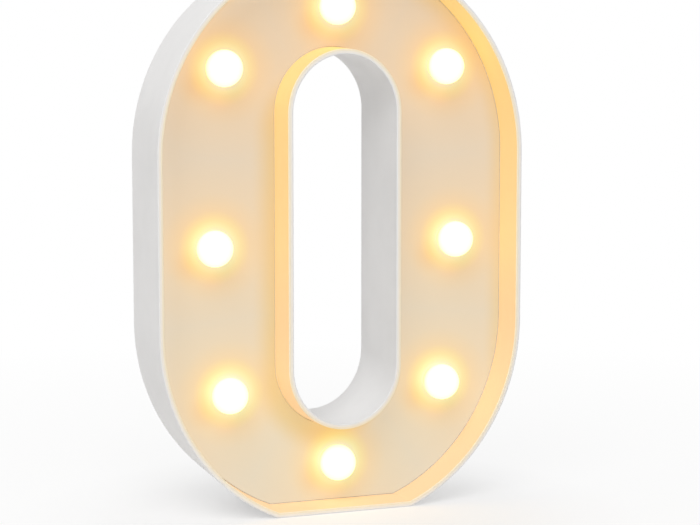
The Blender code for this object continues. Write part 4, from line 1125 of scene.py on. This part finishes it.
def make_diodes():
    """Eight diodes of one make, each with its legs in line with the wires."""
    tip = -DIODE_FLANGE - DIODE_LENGTH
    profile = [(0.0, tip)]
    profile += [(u, tip + DIODE_RADIUS - v)
                for u, v in arc(DIODE_RADIUS, math.pi / 2, 0.0, 10)[1:]]
    profile += [(DIODE_RADIUS, -DIODE_FLANGE),
                (DIODE_FLANGE_RADIUS - FLANGE_EDGE, -DIODE_FLANGE),
                (DIODE_FLANGE_RADIUS, -DIODE_FLANGE + FLANGE_EDGE),
                (DIODE_FLANGE_RADIUS, 0.0),
                (0.0, 0.0)]
    names = ["diode_bulb_" + place for place in LAMPS]
    first = turned(names[0], profile, 32, epoxy_and_tin())
    half = LEG_SIDE / 2
    legs = []
    for middle in (-LEG_PITCH / 2, LEG_PITCH / 2):
        leg = rectangle(middle - half, -half, middle + half, half)
        legs.append(bar(leg, -DIODE_FLANGE / 2, LEG_LENGTH))
    join(first, *legs)
    for bulb, (place, (x, z)) in zip(with_copies(first, names), LAMPS.items()):
        way = outward(x, z)
        bulb.location = (x, DIODE_REAR, z)
        bulb.rotation_euler = (0.0, -math.atan2(way.y, way.x), 0.0)
        dress(bulb, "root", "diode", "diode_" + place)


RUB = rubbed_metal()
make_diodes()


# Screws
# Eight pan head screws of zinc plated steel with a cross drive. They pass through the bosses of
# the casing from behind and cut their own thread in the posts of the face plate.

SCREW_RADIUS = 0.0013
SCREW_LENGTH = 0.01
SCREW_HEAD_RADIUS = 0.0025
SCREW_HEAD_HEIGHT = 0.0019
SCREW_HEAD_ROUND = 0.0006
SCREW_HEAD_CROWN = 0.8
SCREW_SEAT = COUNTERBORE_FLOOR + SEAT_GAP
SCREW_TURN = 37
THREAD_PITCH = 0.0009
THREAD_DEPTH = 0.00022
THREAD_CREST = 0.5
THREAD_FOOT = 0.95
THREAD_END = 0.0012
SHANK_STEP = 0.0002
DRIVE_ARM = 0.0015
DRIVE_HALF = 0.0004
DRIVE_DEPTH = 0.0009
DRIVE_TAPER = 0.55
DRIVE_LIP = 0.00002
ZINC = ((182, 184, 188), (150, 152, 156))


def screw_profile():
    """The point, a shank with the crests of its thread, and a crowned head."""
    root = SCREW_RADIUS - THREAD_DEPTH
    profile = [(0.0, -SCREW_LENGTH)]
    level = -SCREW_LENGTH + THREAD_END
    while level < -THREAD_END:
        profile += [(root, level), (SCREW_RADIUS, level + THREAD_PITCH * THREAD_CREST),
                    (root, level + THREAD_PITCH * THREAD_FOOT)]
        level += THREAD_PITCH
    profile += [(SCREW_RADIUS - SHANK_STEP, 0.0), (SCREW_HEAD_RADIUS, 0.0)]
    for u, v in arc(SCREW_HEAD_ROUND, 0.0, math.pi / 2, 5):
        profile.append((SCREW_HEAD_RADIUS - SCREW_HEAD_ROUND + u,
                        SCREW_HEAD_HEIGHT - SCREW_HEAD_ROUND + v * SCREW_HEAD_CROWN))
    profile.append((0.0, SCREW_HEAD_HEIGHT))
    return profile


def make_screws():
    """Eight screws from one box."""
    names = ["plate_screw_" + str(number) for number in range(1, len(BOSSES) + 1)]
    zinc = metal("screw", ZINC, 0.0005, (0.28, 0.46))
    first = turned(names[0], screw_profile(), 32, zinc)
    arm = DRIVE_ARM
    half = DRIVE_HALF
    cross = [(half, half), (half, arm), (-half, arm), (-half, half), (-arm, half), (-arm, -half),
             (-half, -half), (-half, -arm), (half, -arm), (half, -half), (arm, -half),
             (arm, half)]
    levels = [(-DRIVE_DEPTH, DRIVE_TAPER), (DRIVE_LIP, 1.0), (PAST, 1.0)]
    cut(first, [[(x * share, SCREW_HEAD_HEIGHT + rise, z * share) for x, z in cross]
                for rise, share in levels])
    for number, (screw, (x, z)) in enumerate(zip(with_copies(first, names), BOSSES), start=1):
        screw.location = (x, SCREW_SEAT, z)
        screw.rotation_euler = (0.0, math.radians(SCREW_TURN * number), 0.0)
        dress(screw, "root", "screw", "screw_" + str(number))


make_screws()


# Cells and contacts
# Two AA cells, one each way up, in printed film jackets round steel cans. Nickel plated spring
# steel leaves stand in slots at the ends of the bay, with a cone spring on each negative side.

CELL_LENGTH = 0.0505
CELL_ROUND = 0.0006
FILM_LAP = 0.0012
FILM_THICKNESS = 0.0002
SHOULDER = 0.0011
BAND_START = 0.0105
NUB_RADIUS = 0.00275
NUB_HEIGHT = 0.0012
NUB_FOOT = 0.0007
NUB_EDGE = 0.0003
CELL_HIGH_Z = 0.111650
CELL_LOW_Z = 0.106850
SPRING_WIRE = 0.0007
SPRING_HEIGHT = 0.0038
SPRING_TURNS = 3
SPRING_TURN_STEPS = 28
SPRING_FOOT_RADIUS = 0.0039
SPRING_TIP_RADIUS = 0.0021
CONTACT_CLEAR = 0.001
JACKET = ((52, 55, 62), (178, 184, 190))
JACKET_GLOSS = (0.2, 0.34)
JACKET_COAT = 0.25
BAND_METAL = 0.7
FILM_SCALE = 350.0
CAN_STEEL = ((190, 190, 188), (176, 172, 164))
NICKEL = ((205, 202, 195), (176, 172, 164))


def cell_jacket():
    """Glossy dark film with a plain silvery band round the positive end."""
    material, tree, shader = new_material("cell_jacket")
    place = place_on(tree)
    film = noise(tree, place, FILM_SCALE)
    band = result_of(tree, "GREATER_THAN", parts_of(tree, place)["Y"], BAND_START)
    fill(tree, shader, {
        "Base Color": between(tree, band, JACKET),
        "Metallic": result_of(tree, "MULTIPLY", band, BAND_METAL),
        "Roughness": spread(tree, film, *NOISE_SPAN, *JACKET_GLOSS),
        "Normal": relief(tree, film, FINE_BUMP),
        "Coat Weight": JACKET_COAT,
    })
    return material


def cell_profile():
    """A flat foot, rolled shoulders and the nub."""
    foot = -CELL_LENGTH / 2
    tip = CELL_LENGTH / 2
    end = tip - NUB_HEIGHT
    inner = CELL_RADIUS - CELL_ROUND
    profile = [(0.0, foot), (CELL_RADIUS - FILM_LAP, foot),
               (CELL_RADIUS - FILM_LAP + FILM_THICKNESS, foot + FILM_THICKNESS)]
    profile += [(inner + u, foot + CELL_ROUND + v)
                for u, v in arc(CELL_ROUND, -math.pi / 2, 0.0, 4)]
    profile.append((CELL_RADIUS, BAND_START))
    profile += [(inner + u, end - CELL_ROUND + v)
                for u, v in arc(CELL_ROUND, 0.0, math.pi / 2, 4)]
    return profile + [
        (CELL_RADIUS - SHOULDER, end - FILM_THICKNESS),
        (NUB_RADIUS + NUB_FOOT, end - FILM_THICKNESS),
        (NUB_RADIUS, end),
        (NUB_RADIUS, tip - NUB_EDGE),
        (NUB_RADIUS - NUB_EDGE, tip),
        (0.0, tip),
    ]


def make_cells():
    """Two cells from one profile, bare steel at both ends, one each way up."""
    profile = cell_profile()
    marks = [1] * 2 + [0] * (len(profile) - 8) + [1] * 5
    steel = metal("can_steel", CAN_STEEL, 0.0006, (0.22, 0.36))
    left = turned("aa_cell_left", profile, 64, cell_jacket(), steel, marks=marks)
    right = new_object("aa_cell_right", left.data)
    for cell, side, z in ((left, -1, CELL_HIGH_Z), (right, 1, CELL_LOW_Z)):
        cell.location = (BAY_X + side * CELL_PITCH / 2, CELL_Y, z)
        cell.rotation_euler = (-side * math.pi / 2, 0.0, 0.0)
    dress(left, "root", "cell", "cell_left")
    dress(right, "root", "cell", "cell_right")


def round_wire(name, points, radius, roundness, material):
    """Round wire along a row of points."""
    curve = bpy.data.curves.new(name, "CURVE")
    curve.dimensions = "3D"
    curve.bevel_depth = radius
    curve.bevel_resolution = roundness
    curve.use_fill_caps = True
    line = curve.splines.new("POLY")
    line.points.add(len(points) - 1)
    for spot, point in zip(line.points, points):
        spot.co = (*point, 1.0)
    curve.materials.append(material)
    return new_object(name, curve)


def wind_spring(name, x, base_z, way, node):
    """A cone spring that stands on its leaf and narrows towards the cell."""
    points = []
    steps = SPRING_TURNS * SPRING_TURN_STEPS
    for step in range(steps + 1):
        share = step / steps
        angle = 2 * math.pi * SPRING_TURNS * share
        radius = SPRING_FOOT_RADIUS + (SPRING_TIP_RADIUS - SPRING_FOOT_RADIUS) * share
        points.append((x + radius * math.cos(angle), CELL_Y + radius * math.sin(angle),
                       base_z + way * (SPRING_WIRE / 2 + SPRING_HEIGHT * share)))
    spring = round_wire(name, points, SPRING_WIRE / 2, 4, NICKEL_PLATE)
    dress(spring, "root", "contact", node)


def finish_node(name, material):
    """Give a node of the frame, whose shape is right as packed, its finish."""
    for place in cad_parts[name].material_slots:
        place.material = material


NICKEL_PLATE = metal("nickel", NICKEL, 0.0004, (0.2, 0.38))
make_cells()
wind_spring("cone_spring_left", BAY_X - CELL_PITCH / 2, BAY_LOW + CONTACT_CLEAR, 1,
            "spring_negative")
wind_spring("cone_spring_right", BAY_X + CELL_PITCH / 2, BAY_HIGH - CONTACT_CLEAR, -1,
            "spring_bridge")
for leaf in ("contact_negative", "contact_positive", "contact_bridge"):
    finish_node(leaf, NICKEL_PLATE)


# Battery door
# A flat door of the casing's plastic that lies flush in its seat. Two tabs hook it to the top of
# the bay, a tongue between two slits bears the latch, and a rib stiffens it between the cells.

DOOR_HALF = DOOR_THICKNESS / 2
HINGE_Y = BACK - DOOR_HALF
HINGE_Z = BAY_HIGH
DOOR_FOOT = BAY_LOW - DOOR_LAP + SEAT_GAP - HINGE_Z
DOOR_HALF_WIDTH = BAY_HALF_WIDTH + DOOR_LAP - SEAT_GAP
TAB_HOOK = [(-0.0026, -0.0017), (0.0001, -0.0017), (0.0001, -0.00045), (-0.0014, -0.00045),
            (-0.0014, 0.0027), (-0.0026, 0.0027)]
SLIT = 0.0008
SLIT_LENGTH = 0.009
SLIT_DEPTH = 0.002
NOSE_FRONT = -0.0027
NOSE_LOW = -0.0570
NOSE_HIGH = -0.0559
RIB_HALF = 0.0007
RIB_FRONT = -0.0035
RIB_LOW = -0.04665
RIB_HIGH = -0.01065
GRIPS = 4
GRIP_START = 0.0026
GRIP_PITCH = 0.0016
GRIP_RADIUS = 0.00045
GRIP_RAISED = 0.00018
GRIP_INSET = 0.0012


def door_face(grow):
    """The door seen from behind, with its square end taken past the hinge."""
    top = DOOR_HALF + PAST
    outline = door_shape(0.0, DOOR_FOOT, top, DOOR_HALF_WIDTH, DOOR_CORNER - SEAT_GAP, grow)
    return [(x, top if z > 0.0 else z) for x, z in outline]


def make_door():
    """The door, modelled round its hinge line and set in its place."""
    foot = DOOR_FOOT
    side = [(DOOR_HALF, foot - PAST), (-DOOR_HALF, foot - PAST)]
    side += arc(DOOR_HALF, math.pi, 0.0, 18)
    door = solid("bay_door", bar(side, -DOOR_HALF_WIDTH - PAST, DOOR_HALF_WIDTH + PAST, "X"),
                 WHITE_SHELL)
    levels = [(-DOOR_HALF - PAST, 0.0), (DOOR_HALF - MOUTH, 0.0),
              (DOOR_HALF + MOUTH, -2 * MOUTH)]
    work(door, "INTERSECT", [[(x, y, z) for x, z in door_face(grow)] for y, grow in levels])
    join(door, *[bar(TAB_HOOK, way * TAB_X - TAB_HALF, way * TAB_X + TAB_HALF, "X")
                 for way in (-1, 1)])
    slits = []
    for left in (-LATCH_HALF - SLIT, LATCH_HALF):
        slit = rectangle(left, foot - PAST, left + SLIT, foot + SLIT_LENGTH)
        slits.append(bar(slit, -SLIT_DEPTH, SLIT_DEPTH))
    cut(door, *slits)
    join(door,
         bar(rectangle(-LATCH_HALF, NOSE_LOW, LATCH_HALF, NOSE_HIGH), NOSE_FRONT, 0.0),
         bar(rectangle(-RIB_HALF, RIB_LOW, RIB_HALF, RIB_HIGH), RIB_FRONT, 0.0))
    grips = []
    for groove in range(GRIPS):
        ring = ring_shape(DOOR_HALF + GRIP_RAISED, foot + GRIP_START + GRIP_PITCH * groove,
                          GRIP_RADIUS, 16)
        grips.append(bar(ring, -LATCH_HALF + GRIP_INSET, LATCH_HALF - GRIP_INSET, "X"))
    cut(door, *grips)
    door.location = (BAY_X, HINGE_Y, HINGE_Z)
    dress(door, "door", "white_shell", "battery_door")


make_door()


# Slide switch
# A bought in slide switch in a folded steel shell, with three pins in a brown board, held by the
# brackets behind the dish. Its black knob slides 2.5 mm in the window.

KNOB_X = BAY_X + KNOB_TRAVEL / 2
SHOE = (0.0042, 0.0036, 0.0003)
SHOE_FRONT = 0.0153
SHOE_REAR = 0.0166
STEM_FRONT = 0.0160
RIB_FOOT = 0.02105
KNOB_TOP = 0.0215
KNOB_RIBS = 5
KNOB_RIB_PITCH = 0.0005
RIB_FOOT_HALF = 0.00017
RIB_TOP_HALF = 0.00012
STEEL = ((188, 190, 192), (158, 158, 160))
PHENOLIC = ((124, 88, 62), (106, 74, 52))
BLACK_NYLON = ((38, 38, 40), (30, 30, 32))
PLAIN_SHINE = 0.5


def plain_plastic(name, tones, grain_size, gloss):
    """Moulded plastic of another kind, with a finer bump and a stronger shine."""
    return plastic(name, tones, grain_size, gloss, FINE_BUMP, PLAIN_SHINE)


def make_knob():
    """The shoe that runs inside the shell, and the stem with its ribbed top."""
    nylon = plain_plastic("knob", BLACK_NYLON, 0.0003, (0.34, 0.5))
    knob = solid("slide_knob", bar(round_box(0.0, 0.0, *SHOE), SHOE_FRONT, SHOE_REAR), nylon)
    half = KNOB_LENGTH / 2
    stem = [(-half, STEM_FRONT), (half, STEM_FRONT), (half, RIB_FOOT)]
    for rib in range(KNOB_RIBS):
        middle = KNOB_RIB_PITCH * ((KNOB_RIBS - 1) / 2 - rib)
        stem += [(middle + RIB_FOOT_HALF, RIB_FOOT), (middle + RIB_TOP_HALF, KNOB_TOP),
                 (middle - RIB_TOP_HALF, KNOB_TOP), (middle - RIB_FOOT_HALF, RIB_FOOT)]
    stem.append((-half, RIB_FOOT))
    join(knob, bar(stem, -KNOB_WIDTH / 2, KNOB_WIDTH / 2, "Z"))
    knob.location = (KNOB_X, 0.0, SWITCH_Z)
    dress(knob, "knob", "knob", "switch_knob")


make_knob()
finish_node("switch_shell", metal("switch_steel", STEEL, 0.0005, (0.24, 0.4)))
finish_node("switch_board", plain_plastic("switch_board", PHENOLIC, 0.0004, (0.5, 0.66)))


# Wires
# Stranded wire in soft vinyl: red from the cells through the switch past one leg of each diode,
# black past the other leg and back to the cells. All of it lies in the chamber behind the plate.

WIRE_RADIUS = 0.0006
WIRE_DROP = 0.0018
WIRE_Y = DIODE_REAR + WIRE_DROP
WIRE_RUN = 0.0036
WIRE_START = 0.0752
WIRE_STEPS = 12
PIN_LENGTH = 0.0028
PIN_TIP = SHELL_REAR - PIN_LENGTH - SEAT_GAP
PIN_PITCH = 0.0025
VINYL_GRAIN = 0.0008
VINYL_GLOSS = (0.36, 0.5)
RED_VINYL = ((168, 38, 34), (150, 30, 28))
BLACK_VINYL = ((36, 36, 38), (28, 28, 30))


def smooth_line(points):
    """A smooth line through a row of points."""
    ends = [2 * points[0] - points[1]] + points + [2 * points[-1] - points[-2]]
    line = []
    for place in range(1, len(ends) - 2):
        before, start, end, after = ends[place - 1:place + 3]
        for step in range(WIRE_STEPS):
            share = step / WIRE_STEPS
            linear = (end - before) * share
            square = (2 * before - 5 * start + 4 * end - after) * share ** 2
            cubic = (3 * start - before - 3 * end + after) * share ** 3
            line.append((2 * start + linear + square + cubic) / 2)
    line.append(points[-1])
    return line


def past_legs(side):
    """Where a wire passes the legs of the eight diodes, on one side of them all."""
    offset = side * (LEG_PITCH / 2 + LEG_SIDE / 2 + SEAT_GAP + WIRE_RADIUS)
    stops = []
    for x, z in LAMPS.values():
        way = outward(x, z)
        stops.append(Vector((x + way.x * offset, WIRE_Y, z + way.y * offset)))
    return stops


def lay_wire(name, points, material, slot, node):
    """One round wire along its route."""
    route = smooth_line([Vector(point) for point in points])
    dress(round_wire(name, route, WIRE_RADIUS, 3, material), "root", slot, node)


def lay_wires():
    """The three wires."""
    red = plain_plastic("red_vinyl", RED_VINYL, VINYL_GRAIN, VINYL_GLOSS)
    black = plain_plastic("black_vinyl", BLACK_VINYL, VINYL_GRAIN, VINYL_GLOSS)
    left = BAY_X - CELL_PITCH / 2
    right = BAY_X + CELL_PITCH / 2
    switched = BAY_X + PIN_PITCH
    lay_wire("red_lead", [
        (right, CELL_Y, WIRE_START),
        (right, CELL_Y, WIRE_START - WIRE_RUN),
        (right - WIRE_RUN, PIN_TIP - WIRE_RUN, SWITCH_Z + WIRE_RUN),
        (BAY_X, PIN_TIP - WIRE_RUN, SWITCH_Z),
        (BAY_X, PIN_TIP, SWITCH_Z),
    ], red, "red_wire", "wire_cells_to_switch")
    lay_wire("red_loop", [
        (switched, PIN_TIP, SWITCH_Z),
        (switched, PIN_TIP - WIRE_RUN, SWITCH_Z - WIRE_RUN / 2),
        (switched, WIRE_Y + WIRE_RUN, SWITCH_Z - WIRE_RUN),
    ] + past_legs(-1), red, "red_wire", "wire_positive")
    lay_wire("black_loop", [
        (left, CELL_Y, WIRE_START),
        (left, CELL_Y, WIRE_START - WIRE_RUN),
        (left, WIRE_Y + WIRE_RUN, SWITCH_Z),
    ] + past_legs(1), black, "black_wire", "wire_negative")


lay_wires()
